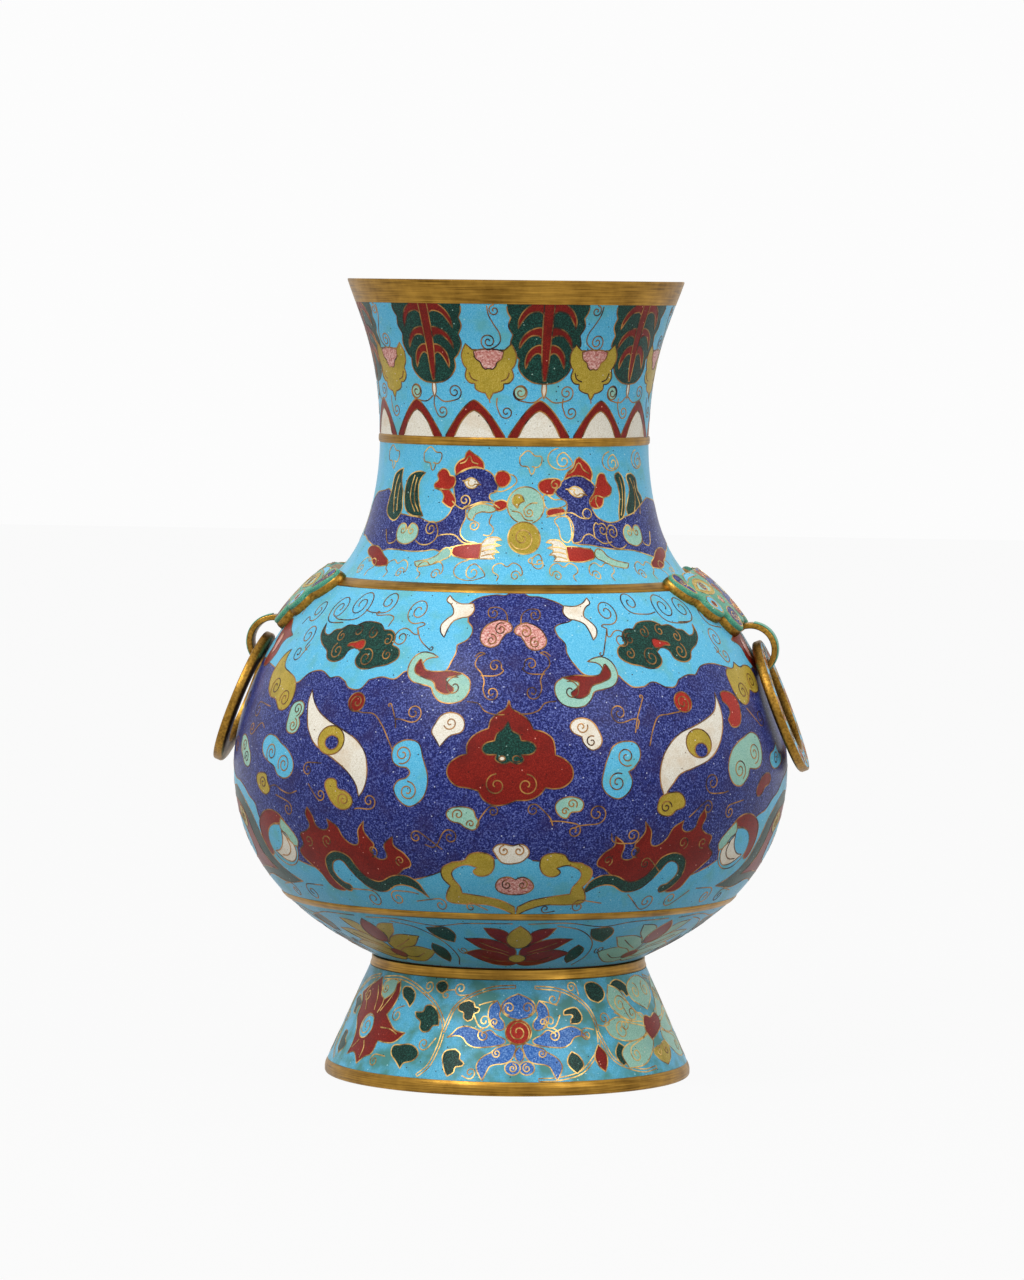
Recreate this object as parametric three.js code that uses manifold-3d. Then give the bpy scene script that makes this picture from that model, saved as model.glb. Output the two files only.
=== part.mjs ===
// A cloisonne hu vase: copper shells, fused enamel panels, gilt bands, and two beast-mask handles with
// loose rings.
// Units are millimetres. +Z is up, the foot stands on Z = 0, and the handles lie on +X and -X.
import * as THREE from "three";
import { mergeVertices } from "three/addons/utils/BufferGeometryUtils.js";
import Module from "manifold-3d";

const wasm = await Module();
wasm.setup();

// The outer outline, from the mouth down
const HEIGHT = 380;
const MOUTH_RADIUS = 80.6;
const MOUTH_FLARE = THREE.MathUtils.degToRad(19);
const MOUTH_REACH = 22;
const WAIST_RADIUS = 64.3;
const WAIST_Z = 302;
const WAIST_REACH_UP = 42;
const WAIST_REACH_DOWN = 8;
const SHOULDER_RADIUS = 87.7;
const SHOULDER_Z = 237;
const SHOULDER_SLOPE = THREE.MathUtils.degToRad(35.5);
const SHOULDER_REACH_UP = 27;
const SHOULDER_REACH_DOWN = 31;
const BELLY_RADIUS = 132.7;
const BELLY_Z = 149;
const BELLY_REACH_UP = 26.4;
const BELLY_REACH_DOWN = 51.5;
const BOWL_RADIUS = 65;
const BOWL_Z = 57.2;
const BOWL_SLOPE = THREE.MathUtils.degToRad(26.4);
const BOWL_REACH = 36.9;

// Walls and the clearance between pieces that touch
const ENAMEL = 1.2;
const COPPER = 1.6;
const FIT = 0.3;

// Gilt bands: height of the middle, and width along the surface
const RIM_DEPTH = 11.9;
const LIP_THICKNESS = 2.4;
const LIP_WIDTH = 3.3;
const NECK_BAND_Z = 304.4;
const NECK_BAND_WIDTH = 4;
const SHOULDER_BAND_WIDTH = 6.6;
const BELLY_BAND_Z = 86.2;
const BELLY_BAND_WIDTH = 4.6;

// The foot
const COLLAR_HEIGHT = 5;
const COLLAR_FLARE = 1.3;
const COLLAR_THICKNESS = 1.6;
const FOOT_RADIUS = 86.4;
const FOOT_RIM_HEIGHT = 6.6;
const FOOT_RIM_BULGE = 1.3;
const FOOT_RIM_CHAMFER = 0.8;
const FOOT_RIM_WIDTH = 5.2;
const BASE_PLATE_Z = 44;
const BASE_PLATE_THICKNESS = 1.2;

// The beast masks: broad lobed plaques wrapped round the shoulder. Each lobe is [down the slope from
// the shoulder band, sideways round the vase, radius], and all but those in the middle come in pairs.
const MASK_THICKNESS = 4.2;
const MASK_BORDER = 0.8;
const MASK_LOBES = [
  [5, 37, 9.5],
  [16.5, 31.5, 8.4],
  [25.5, 20.5, 8],
  [7, 0, 12.5],
  [7, 13, 12.5],
  [7.5, 25, 11.5],
  [16, 9, 14],
  [15, 21, 11],
];

// The hooks that the rings hang in
const HOOK_Z = 205.5;
const HOOK_INNER_RADIUS = 10.2;
const HOOK_THICKNESS = 2;
const HOOK_WIDTH = 12;
const HOOK_ENAMEL_WIDTH = 10;
const HOOK_ENAMEL_THICKNESS = 0.8;
const HOOK_START = THREE.MathUtils.degToRad(150);
const HOOK_END = THREE.MathUtils.degToRad(-50);
const HOOK_ENAMEL_START = THREE.MathUtils.degToRad(84);

// The loose rings
const RING_RADIUS = 33.4;
const RING_WIDTH = 10.6;
const RING_THICKNESS = 4.6;
const RING_BACK_CHAMFER = 1.2;
const RING_FRONT_CHAMFER = 0.5;
const RING_BORDER = 1.4;
const RING_INLAY = 1.1;
const RING_LEAN = THREE.MathUtils.degToRad(21.5);

// The studs that hold each mask to the shoulder
const STUD_RADIUS = 1.8;
const STUD_DOWN = 12;
const STUD_SPREAD = 22;
const STUD_BITE = 3;
const STUD_HEAD_RADIUS = 3;
const STUD_CROWN_RADIUS = 1.8;
const STUD_HEAD_HEIGHT = 1.4;
const WASHER_RADIUS = 4.6;
const WASHER_THICKNESS = 1.4;

// Facets
const SEGMENTS = 32;
const BOWL_STEPS = 3;
const BELLY_STEPS = 4;
const SHOULDER_STEPS = 5;
const NECK_STEPS = 4;
const MOUTH_STEPS = 3;
const RING_SEGMENTS = 32;
const LOBE_SEGMENTS = 14;
const MASK_FACE_SEGMENTS = 54;
const MASK_FACE_STEPS = 16;
const HOOK_SEGMENTS = 10;
const STUD_SEGMENTS = 12;
const CURVE_SAMPLES = 160;
const SMALLEST_STEP = 1e-4;

const GILT = { color: 0xb98a3a, metalness: 1, roughness: 0.35 };
const COPPER_METAL = { color: 0x9a5b3c, metalness: 1, roughness: 0.45 };
const TURQUOISE = { color: 0x3fb4d8, metalness: 0, roughness: 0.25 };
const LAPIS = { color: 0x3b3f9a, metalness: 0, roughness: 0.3 };

const vec = (x, y) => new THREE.Vector2(x, y);

// The outline as four cubic curves that meet smoothly, sampled from the bowl's foot up to the mouth
function sampleOutline() {
  const bowl = vec(BOWL_RADIUS, BOWL_Z);
  const bowlPull = vec(Math.cos(BOWL_SLOPE), Math.sin(BOWL_SLOPE)).multiplyScalar(BOWL_REACH);
  const belly = vec(BELLY_RADIUS, BELLY_Z);
  const shoulder = vec(SHOULDER_RADIUS, SHOULDER_Z);
  const slope = vec(Math.cos(SHOULDER_SLOPE), -Math.sin(SHOULDER_SLOPE));
  const waist = vec(WAIST_RADIUS, WAIST_Z);
  const mouth = vec(MOUTH_RADIUS, HEIGHT);
  const mouthPull = vec(Math.sin(MOUTH_FLARE), Math.cos(MOUTH_FLARE)).multiplyScalar(MOUTH_REACH);
  const curves = [
    [bowl, bowl.clone().add(bowlPull), belly.clone().add(vec(0, -BELLY_REACH_DOWN)), belly],
    [
      belly,
      belly.clone().add(vec(0, BELLY_REACH_UP)),
      shoulder.clone().addScaledVector(slope, SHOULDER_REACH_DOWN),
      shoulder,
    ],
    [
      shoulder,
      shoulder.clone().addScaledVector(slope, -SHOULDER_REACH_UP),
      waist.clone().add(vec(0, -WAIST_REACH_DOWN)),
      waist,
    ],
    [waist, waist.clone().add(vec(0, WAIST_REACH_UP)), mouth.clone().sub(mouthPull), mouth],
  ].map((pulls) => new THREE.CubicBezierCurve(...pulls));
  const points = curves.flatMap((curve, i) => curve.getPoints(CURVE_SAMPLES).slice(i ? 1 : 0));
  let along = 0;
  return points.map((point, i) => {
    along += i ? point.distanceTo(points[i - 1]) : 0;
    const after = points[Math.min(i + 1, points.length - 1)];
    const step = after.clone().sub(points[Math.max(i - 1, 0)]).normalize();
    return { along, point, normal: vec(step.y, -step.x) };
  });
}
const outline = sampleOutline();

// Place and outward normal on the outline, found by the value of any rising measure of its samples
function onOutline(measure, value) {
  const last = outline.length - 1;
  const found = outline.findIndex((s) => measure(s) > value);
  const i = Math.min(Math.max(found < 0 ? last : found, 1), last);
  const [a, b] = [outline[i - 1], outline[i]];
  const share = THREE.MathUtils.clamp((value - measure(a)) / (measure(b) - measure(a)), 0, 1);
  return {
    along: THREE.MathUtils.lerp(a.along, b.along, share),
    point: a.point.clone().lerp(b.point, share),
    normal: a.normal.clone().lerp(b.normal, share).normalize(),
  };
}
const atHeight = (z) => onOutline((s) => s.point.y, z);
const atLength = (along) => onOutline((s) => s.along, along);
const inward = (place, depth) => place.point.clone().addScaledVector(place.normal, -depth);

// Lengths along the outline at which the parts and the gilt bands begin and end
const BOWL = outline[0].along;
const BELLY = atHeight(BELLY_Z).along;
const TOP = outline[outline.length - 1].along;
const RIM_START = TOP - RIM_DEPTH;
const bandEdges = (middle, width) => [middle - width / 2, middle + width / 2];
const [NECK_BAND_LOW, NECK_BAND_HIGH] = bandEdges(atHeight(NECK_BAND_Z).along, NECK_BAND_WIDTH);
const SHOULDER_JOINT = atHeight(SHOULDER_Z).along;
const [SHOULDER_BAND_LOW, SHOULDER_BAND_HIGH] = bandEdges(SHOULDER_JOINT, SHOULDER_BAND_WIDTH);
const BELLY_JOINT = atHeight(BELLY_BAND_Z).along;
const [BELLY_BAND_LOW, BELLY_BAND_HIGH] = bandEdges(BELLY_JOINT, BELLY_BAND_WIDTH);
const WALL_OUTER = ENAMEL + FIT;
const WALL_INNER = WALL_OUTER + COPPER;

// Evenly spaced values from one to another, both included
function spread(from, to, steps) {
  return Array.from({ length: steps + 1 }, (_, i) => from + ((to - from) * i) / steps);
}
const run = (stations, depth) => stations.map((along) => inward(atLength(along), depth));

function lathe(profile, segments = SEGMENTS) {
  return new THREE.LatheGeometry(profile, segments).rotateX(Math.PI / 2);
}

// A closed wall between two depths under the outer surface
function wall(stations, outer, inner) {
  const profile = [...run(stations, outer), ...run(stations, inner).reverse()];
  return lathe([...profile, profile[0]]);
}

function solidOf(geometry) {
  const bare = new THREE.BufferGeometry();
  bare.setAttribute("position", geometry.getAttribute("position"));
  if (geometry.index) bare.setIndex(geometry.index);
  const merged = mergeVertices(bare, SMALLEST_STEP);
  const faces = [];
  for (let i = 0; i < merged.index.count; i += 3) {
    const [a, b, c] = [0, 1, 2].map((k) => merged.index.getX(i + k));
    if (a !== b && b !== c && a !== c) faces.push(a, b, c);
  }
  const vertProperties = merged.getAttribute("position").array;
  return new wasm.Manifold(new wasm.Mesh({ numProp: 3, vertProperties, triVerts: new Uint32Array(faces) }));
}

function geometryOf(solid) {
  const mesh = solid.getMesh();
  const geometry = new THREE.BufferGeometry();
  geometry.setAttribute("position", new THREE.BufferAttribute(mesh.vertProperties.slice(), 3));
  geometry.setIndex(new THREE.BufferAttribute(mesh.triVerts.slice(), 1));
  geometry.computeVertexNormals();
  return geometry;
}

function piece(name, geometry, finish) {
  const mesh = new THREE.Mesh(geometry, new THREE.MeshStandardMaterial({ ...finish, flatShading: true }));
  mesh.name = name;
  return mesh;
}

const vase = new THREE.Group();
vase.name = "hu_vase";

// Shells: the neck, the body and the closed bowl are butted and soldered under the bands
const NECK_TOP = TOP - (LIP_THICKNESS + FIT) / Math.cos(MOUTH_FLARE) - WALL_INNER * Math.tan(MOUTH_FLARE);
const neckStations = [
  SHOULDER_JOINT + FIT / 2,
  ...spread(SHOULDER_BAND_HIGH, NECK_BAND_LOW, NECK_STEPS),
  ...spread(NECK_BAND_HIGH, RIM_START, MOUTH_STEPS),
  NECK_TOP,
];
const bodyCurve = (start, end) => [
  ...spread(start, BELLY, BELLY_STEPS),
  ...spread(BELLY, end, SHOULDER_STEPS).slice(1),
];
const bodyStations = [
  BELLY_JOINT + FIT / 2,
  ...bodyCurve(BELLY_BAND_HIGH, SHOULDER_BAND_LOW),
  SHOULDER_JOINT - FIT / 2,
];
const bowlStations = [...spread(BOWL, BELLY_BAND_LOW, BOWL_STEPS), BELLY_JOINT - FIT / 2];

function bowlShell() {
  const under = run(bowlStations, WALL_OUTER);
  const inside = run(bowlStations, WALL_INNER);
  const floor = under[0].y + COPPER;
  const rise = inside.filter((place) => place.y > floor).reverse();
  const middle = [vec(inside[0].x, floor), vec(0, floor)];
  return lathe([vec(0, under[0].y), ...under, ...rise, ...middle]);
}

// A frame on the outer surface, a way down the slope from the shoulder band and sideways round the vase.
// Its X runs down the slope, its Y sideways and its Z along the outward normal.
function surfaceFrame(down, sideways) {
  const place = atLength(SHOULDER_JOINT - down);
  const turn = new THREE.Matrix4().makeRotationZ(sideways / place.point.x);
  return turn.multiply(frameOf(place.point, place.normal));
}

function frameOf(point, normal) {
  const down = new THREE.Vector3(normal.y, 0, -normal.x);
  const out = new THREE.Vector3(normal.x, 0, normal.y);
  return new THREE.Matrix4()
    .makeBasis(down, new THREE.Vector3(0, 1, 0), out)
    .setPosition(point.x, 0, point.y);
}

// Holes for the two studs of each mask, through the enamel and the copper
const studFrames = [-STUD_SPREAD, STUD_SPREAD].map((sideways) => surfaceFrame(STUD_DOWN, sideways));

function studBores(radius, depth) {
  const bores = studFrames.map((frame) => {
    const bore = new THREE.CylinderGeometry(radius, radius, 2 * depth, STUD_SEGMENTS).rotateX(Math.PI / 2);
    return solidOf(bore.applyMatrix4(frame));
  });
  return bores[0].add(bores[1]);
}
const wallBores = studBores(STUD_RADIUS + FIT, 2 * WALL_INNER);
const bothWallBores = wallBores.add(wallBores.rotate([0, 0, 180]));
const drilled = (geometry) => geometryOf(solidOf(geometry).subtract(bothWallBores));

vase.add(
  piece("neck_shell", wall(neckStations, WALL_OUTER, WALL_INNER), COPPER_METAL),
  piece("body_shell", drilled(wall(bodyStations, WALL_OUTER, WALL_INNER)), COPPER_METAL),
  piece("bowl_shell", bowlShell(), COPPER_METAL),
);

// Enamel panels, each held between two bands
const panel = (low, high, steps) => wall(spread(low + FIT, high - FIT, steps), 0, ENAMEL);
const bodyPanelStations = bodyCurve(BELLY_BAND_HIGH + FIT, SHOULDER_BAND_LOW - FIT);
const neckPanelStations = spread(SHOULDER_BAND_HIGH + FIT, NECK_BAND_LOW - FIT, NECK_STEPS);
vase.add(
  piece("neck_leaf_enamel", panel(NECK_BAND_HIGH, RIM_START, MOUTH_STEPS), TURQUOISE),
  piece("neck_beast_enamel", wall(neckPanelStations, 0, ENAMEL), TURQUOISE),
  piece("body_mask_enamel", drilled(wall(bodyPanelStations, 0, ENAMEL)), LAPIS),
  piece("bowl_lotus_enamel", panel(BOWL, BELLY_BAND_LOW, BOWL_STEPS), TURQUOISE),
);

// Gilt bands over the joints, and the mouth rim that caps the neck
const band = (low, high) => wall(spread(low, high, 1), 0, ENAMEL);

function mouthRim() {
  const outside = run([RIM_START, TOP], 0);
  const lipInside = MOUTH_RADIUS - LIP_WIDTH;
  const capUnder = inward(atLength(TOP - LIP_THICKNESS), WALL_INNER);
  const profile = [
    ...outside,
    vec(lipInside, HEIGHT),
    vec(capUnder.x, HEIGHT - LIP_THICKNESS),
    inward(atLength(TOP - LIP_THICKNESS), ENAMEL),
    inward(atLength(RIM_START), ENAMEL),
  ];
  return lathe([...profile, profile[0]]);
}

vase.add(
  piece("mouth_rim", mouthRim(), GILT),
  piece("neck_band", band(NECK_BAND_LOW, NECK_BAND_HIGH), GILT),
  piece("shoulder_band", band(SHOULDER_BAND_LOW, SHOULDER_BAND_HIGH), GILT),
  piece("belly_band", band(BELLY_BAND_LOW, BELLY_BAND_HIGH), GILT),
);

// The foot: a flared shell that carries the bowl, its enamel, its collar, its rim and its closing plate
const COLLAR_TOP = BOWL_Z - FIT;
const COLLAR_BOTTOM = COLLAR_TOP - COLLAR_HEIGHT;
const FLARE_TOP = vec(BOWL_RADIUS + COLLAR_FLARE, COLLAR_BOTTOM);
const FLARE_BOTTOM = vec(FOOT_RADIUS, FOOT_RIM_HEIGHT);
const FLARE_NORMAL = vec(FLARE_TOP.y - FLARE_BOTTOM.y, FLARE_BOTTOM.x - FLARE_TOP.x).normalize();

// Radius of the flare at a height, at a depth under its enamel
function flareRadius(z, depth) {
  const share = (z - FLARE_BOTTOM.y) / (FLARE_TOP.y - FLARE_BOTTOM.y);
  return THREE.MathUtils.lerp(FLARE_BOTTOM.x, FLARE_TOP.x, share) - depth / FLARE_NORMAL.x;
}
const onFlare = (z, depth) => vec(flareRadius(z, depth), z);

function footShell() {
  const seat = inward(atLength(BOWL), WALL_OUTER).y - FIT;
  const foot = FOOT_RIM_HEIGHT + FIT;
  const stemOuter = BOWL_RADIUS - COLLAR_THICKNESS - FIT;
  const stemInner = stemOuter - COPPER;
  const profile = [
    onFlare(foot, WALL_OUTER),
    onFlare(COLLAR_BOTTOM - COPPER, WALL_OUTER),
    vec(stemOuter, COLLAR_BOTTOM),
    vec(stemOuter, seat),
    vec(stemInner, seat),
    vec(stemInner, COLLAR_BOTTOM - COPPER),
    onFlare(COLLAR_BOTTOM - 2 * COPPER, WALL_INNER),
    onFlare(foot, WALL_INNER),
  ];
  return lathe([...profile, profile[0]]);
}

function footEnamel() {
  const [low, high] = [FOOT_RIM_HEIGHT + FIT, COLLAR_BOTTOM - FIT];
  const profile = [onFlare(low, 0), onFlare(high, 0), onFlare(high, ENAMEL), onFlare(low, ENAMEL)];
  return lathe([...profile, profile[0]]);
}

function footCollar() {
  const profile = [
    vec(BOWL_RADIUS + COLLAR_FLARE, COLLAR_BOTTOM),
    vec(BOWL_RADIUS, COLLAR_TOP),
    vec(BOWL_RADIUS - COLLAR_THICKNESS, COLLAR_TOP),
    vec(BOWL_RADIUS - COLLAR_THICKNESS, COLLAR_BOTTOM),
  ];
  return lathe([...profile, profile[0]]);
}

function footRim() {
  const widest = FOOT_RADIUS + FOOT_RIM_BULGE;
  const profile = [
    vec(widest - FOOT_RIM_WIDTH, 0),
    vec(widest - FOOT_RIM_CHAMFER, 0),
    vec(widest, FOOT_RIM_CHAMFER),
    vec(widest, FOOT_RIM_HEIGHT / 2),
    vec(FOOT_RADIUS, FOOT_RIM_HEIGHT),
    vec(FOOT_RADIUS - WALL_INNER - FIT, FOOT_RIM_HEIGHT),
  ];
  return lathe([...profile, profile[0]]);
}

function basePlate() {
  const top = BASE_PLATE_Z + BASE_PLATE_THICKNESS;
  const profile = [
    vec(0, BASE_PLATE_Z),
    vec(flareRadius(BASE_PLATE_Z, WALL_INNER) - FIT, BASE_PLATE_Z),
    vec(flareRadius(top, WALL_INNER) - FIT, top),
    vec(0, top),
  ];
  return lathe(profile);
}

vase.add(
  piece("foot_shell", footShell(), COPPER_METAL),
  piece("foot_lotus_enamel", footEnamel(), TURQUOISE),
  piece("foot_collar", footCollar(), GILT),
  piece("foot_rim", footRim(), GILT),
  piece("base_plate", basePlate(), GILT),
);

// A solid of revolution filled to the axis
function filled(profile, segments) {
  return solidOf(lathe([vec(0, profile[0].y), ...profile, vec(0, profile[profile.length - 1].y)], segments));
}
// The outer surface with the fitting clearance on it, and the hollow inside
const seatCutter = filled(run([...bodyPanelStations, ...neckPanelStations], -FIT));
const cavity = filled(run(bodyStations, WALL_INNER + FIT));

// The surface at a height above the shoulder, finer than the walls, for the face of the masks
function raised(height) {
  const stations = spread(BELLY, atHeight(WAIST_Z).along, MASK_FACE_STEPS);
  return filled(run(stations, -height), MASK_FACE_SEGMENTS);
}

// The mask's lobed outline, square to the surface all over and shrunk by an inset
function maskBlock(inset) {
  const height = 6 * MASK_THICKNESS;
  const lobes = MASK_LOBES.flatMap(([down, side, radius]) => [...new Set([side, -side])].map((sideways) => {
    const lobe = new THREE.CylinderGeometry(radius - inset, radius - inset, height, LOBE_SEGMENTS);
    return solidOf(lobe.rotateX(Math.PI / 2).applyMatrix4(surfaceFrame(down, sideways)));
  }));
  return lobes.reduce((block, lobe) => block.add(lobe));
}

// The hook: an arch in the XZ plane round a centre on the body's surface
const hookPlace = atHeight(HOOK_Z);
const HOOK_OUTER_RADIUS = HOOK_INNER_RADIUS + HOOK_THICKNESS;

function arch(inner, outer, start, end, width) {
  const shape = new THREE.Shape();
  shape.absarc(0, 0, outer, start, end, true);
  shape.absarc(0, 0, inner, end, start, false);
  const options = { depth: width, bevelEnabled: false, curveSegments: HOOK_SEGMENTS };
  const strap = new THREE.ExtrudeGeometry(shape, options).translate(0, 0, -width / 2).rotateX(Math.PI / 2);
  return solidOf(strap.translate(hookPlace.point.x, 0, hookPlace.point.y));
}

const hookStrap = arch(HOOK_INNER_RADIUS, HOOK_OUTER_RADIUS, HOOK_START, HOOK_END, HOOK_WIDTH);
const inlayFloor = HOOK_OUTER_RADIUS + FIT;
const hookInlay = arch(
  inlayFloor,
  inlayFloor + HOOK_ENAMEL_THICKNESS,
  HOOK_ENAMEL_START,
  HOOK_END,
  HOOK_ENAMEL_WIDTH,
);

// The notch in the mask's lower edge that the top of the hook is soldered in
function hookCutter() {
  const radius = HOOK_OUTER_RADIUS + FIT;
  const drum = new THREE.CylinderGeometry(radius, radius, HOOK_WIDTH + 2 * FIT, 4 * HOOK_SEGMENTS);
  return solidOf(drum.translate(hookPlace.point.x, 0, hookPlace.point.y));
}

// The ring hangs in the hook, sunk until its back meets the slope of the body under the hook
const RING_INNER = RING_RADIUS - RING_WIDTH;
const RING_MIDDLE = RING_RADIUS - RING_WIDTH / 2;
const [FRONT, BACK] = [RING_THICKNESS / 2, -RING_THICKNESS / 2];
const leaning = (lean, down, out) => vec(
  down * Math.sin(lean) + out * Math.cos(lean),
  out * Math.sin(lean) - down * Math.cos(lean),
);

// The middle of the ring's limb, sunk below the hook's centre, and as far out as the limb's lower corners
// let it go inside the hook. The ring's inner edge drops a little across the hook's width.
function limbSunk(lean, sink) {
  const reach = HOOK_INNER_RADIUS - FIT;
  const drop = RING_INNER - Math.sqrt(RING_INNER ** 2 - (HOOK_WIDTH / 2) ** 2);
  const lower = RING_WIDTH / 2 + drop;
  const corners = [
    leaning(lean, lower, FRONT - RING_FRONT_CHAMFER),
    leaning(lean, lower - RING_FRONT_CHAMFER, FRONT),
    leaning(lean, lower, BACK + RING_BACK_CHAMFER),
  ];
  const shifts = corners.map((corner) => Math.sqrt(reach ** 2 - (corner.y - sink) ** 2) - corner.x);
  return hookPlace.point.clone().add(vec(Math.min(...shifts), -sink));
}

// The least gap between the ring's back and the body
function backGap(lean, limb) {
  const edges = [RING_INNER + RING_BACK_CHAMFER, RING_RADIUS - RING_BACK_CHAMFER];
  const gaps = edges.flatMap((edge) => spread(0, Math.PI, RING_SEGMENTS).map((turn) => {
    const place = limb.clone().add(leaning(lean, RING_MIDDLE + edge * Math.cos(turn), BACK));
    const skin = atHeight(place.y);
    return (Math.hypot(place.x, edge * Math.sin(turn)) - skin.point.x) * skin.normal.x;
  }));
  return Math.min(...gaps);
}

// The ring hangs at its lean, and further out where a fuller body would meet it in the hook's middle
function hangingLean() {
  const clear = (lean) => backGap(lean, limbSunk(lean, 0)) >= FIT;
  if (clear(RING_LEAN)) return RING_LEAN;
  let [meeting, free] = [RING_LEAN, Math.PI / 2];
  while (free - meeting > SMALLEST_STEP) {
    const middle = (meeting + free) / 2;
    if (clear(middle)) free = middle;
    else meeting = middle;
  }
  return free;
}
const ringLean = hangingLean();

function hangingLimb() {
  let [high, low] = [0, HOOK_INNER_RADIUS / 2];
  while (low - high > SMALLEST_STEP) {
    const middle = (low + high) / 2;
    if (backGap(ringLean, limbSunk(ringLean, middle)) < FIT) low = middle;
    else high = middle;
  }
  return limbSunk(ringLean, high);
}
const limb = hangingLimb();

function ringSection() {
  const floor = FRONT - RING_INLAY;
  return [
    vec(RING_INNER, BACK + RING_BACK_CHAMFER),
    vec(RING_INNER + RING_BACK_CHAMFER, BACK),
    vec(RING_RADIUS - RING_BACK_CHAMFER, BACK),
    vec(RING_RADIUS, BACK + RING_BACK_CHAMFER),
    vec(RING_RADIUS, FRONT - RING_FRONT_CHAMFER),
    vec(RING_RADIUS - RING_FRONT_CHAMFER, FRONT),
    vec(RING_RADIUS - RING_BORDER, FRONT),
    vec(RING_RADIUS - RING_BORDER, floor),
    vec(RING_INNER + RING_BORDER, floor),
    vec(RING_INNER + RING_BORDER, FRONT),
    vec(RING_INNER + RING_FRONT_CHAMFER, FRONT),
    vec(RING_INNER, FRONT - RING_FRONT_CHAMFER),
  ];
}

function ringInlaySection() {
  const floor = FRONT - RING_INLAY + FIT;
  const [low, high] = [RING_INNER + RING_BORDER + FIT, RING_RADIUS - RING_BORDER - FIT];
  return [vec(low, floor), vec(high, floor), vec(high, FRONT), vec(low, FRONT)];
}

// A piece turned about the ring's own axis, set in the leaning plane of the hanging ring
function ringPart(name, section, finish) {
  const part = piece(name, lathe([...section, section[0]], RING_SEGMENTS), finish);
  const out = vec(Math.cos(ringLean), Math.sin(ringLean));
  const centre = limb.clone().add(vec(out.y, -out.x).multiplyScalar(RING_MIDDLE));
  part.applyMatrix4(frameOf(centre, out));
  return part;
}

function stud() {
  const head = WALL_INNER + WASHER_THICKNESS + 2 * FIT;
  const profile = [
    vec(0, -head - STUD_HEAD_HEIGHT),
    vec(STUD_CROWN_RADIUS, -head - STUD_HEAD_HEIGHT),
    vec(STUD_HEAD_RADIUS, -head),
    vec(STUD_RADIUS, -head),
    vec(STUD_RADIUS, STUD_BITE),
    vec(0, STUD_BITE),
  ];
  return lathe(profile, STUD_SEGMENTS);
}

// Each washer is dished to the inside of the wall
function washer(frame) {
  const [low, high] = [-WALL_INNER - FIT - WASHER_THICKNESS, -ENAMEL];
  const hole = STUD_RADIUS + FIT;
  const profile = [vec(hole, low), vec(WASHER_RADIUS, low), vec(WASHER_RADIUS, high), vec(hole, high)];
  const plate = lathe([...profile, profile[0]], STUD_SEGMENTS).applyMatrix4(frame);
  return geometryOf(solidOf(plate).intersect(cavity));
}

function maskSolids() {
  const enamelFloor = MASK_THICKNESS + FIT;
  const enamelSkin = raised(enamelFloor + ENAMEL).subtract(raised(enamelFloor));
  const casting = maskBlock(0).intersect(raised(MASK_THICKNESS)).subtract(seatCutter);
  const enamel = maskBlock(MASK_BORDER).intersect(enamelSkin);
  const bores = studBores(STUD_RADIUS + FIT, STUD_BITE + FIT);
  return [casting.subtract(bores), enamel].map((solid) => solid.subtract(hookCutter()));
}

function handle(side, turn) {
  const group = new THREE.Group();
  group.rotation.z = turn;
  const [casting, enamel] = maskSolids();
  group.add(
    piece(`${side}_mask_casting`, geometryOf(casting), GILT),
    piece(`${side}_mask_enamel`, geometryOf(enamel), TURQUOISE),
    piece(`${side}_hook`, geometryOf(hookStrap.subtract(seatCutter)), GILT),
    piece(`${side}_hook_enamel`, geometryOf(hookInlay), LAPIS),
    ringPart(`${side}_ring`, ringSection(), GILT),
    ringPart(`${side}_ring_enamel`, ringInlaySection(), TURQUOISE),
  );
  const ends = turn ? ["back", "front"] : ["front", "back"];
  ends.forEach((end, i) => {
    const shank = piece(`${side}_${end}_stud`, stud(), GILT);
    shank.applyMatrix4(studFrames[i]);
    group.add(shank, piece(`${side}_${end}_washer`, washer(studFrames[i]), GILT));
  });
  return group;
}

vase.add(handle("right", 0), handle("left", Math.PI));

export default vase;
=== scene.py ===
import math
from collections import Counter

import bpy
import numpy as np
from mathutils import Matrix, Vector
from mathutils.geometry import delaunay_2d_cdt


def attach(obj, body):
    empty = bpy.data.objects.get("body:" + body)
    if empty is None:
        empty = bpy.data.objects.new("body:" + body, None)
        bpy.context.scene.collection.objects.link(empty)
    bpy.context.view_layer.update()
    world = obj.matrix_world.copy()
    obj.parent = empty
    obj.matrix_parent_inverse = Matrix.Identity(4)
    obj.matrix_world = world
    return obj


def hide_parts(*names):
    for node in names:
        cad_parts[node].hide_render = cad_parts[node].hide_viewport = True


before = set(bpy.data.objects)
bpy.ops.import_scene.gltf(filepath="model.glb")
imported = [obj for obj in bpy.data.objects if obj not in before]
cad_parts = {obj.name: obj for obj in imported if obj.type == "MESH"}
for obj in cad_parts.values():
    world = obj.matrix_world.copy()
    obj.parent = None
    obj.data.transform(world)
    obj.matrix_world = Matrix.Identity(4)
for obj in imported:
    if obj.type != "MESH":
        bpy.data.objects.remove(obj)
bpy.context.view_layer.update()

# The studio: a pale floor, white behind the vase, a large soft lamp from the front left, a weaker one
# from the right and a soft sky that is brighter overhead. The camera stands level with the rim, 2.8 m
# away, a little to the right of the vase's front, and the vase fills the upright frame.
MM = 0.001
FRAME_HEIGHT, FOCAL_LENGTH, LEVEL_LINE, SENSOR = 1280, 5858, 280, 36
VIEW_DISTANCE, VIEW_HEIGHT = 2.8, 0.38
VIEW_TURN, VIEW_ROLL = math.radians(6), math.radians(0.65)
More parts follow.
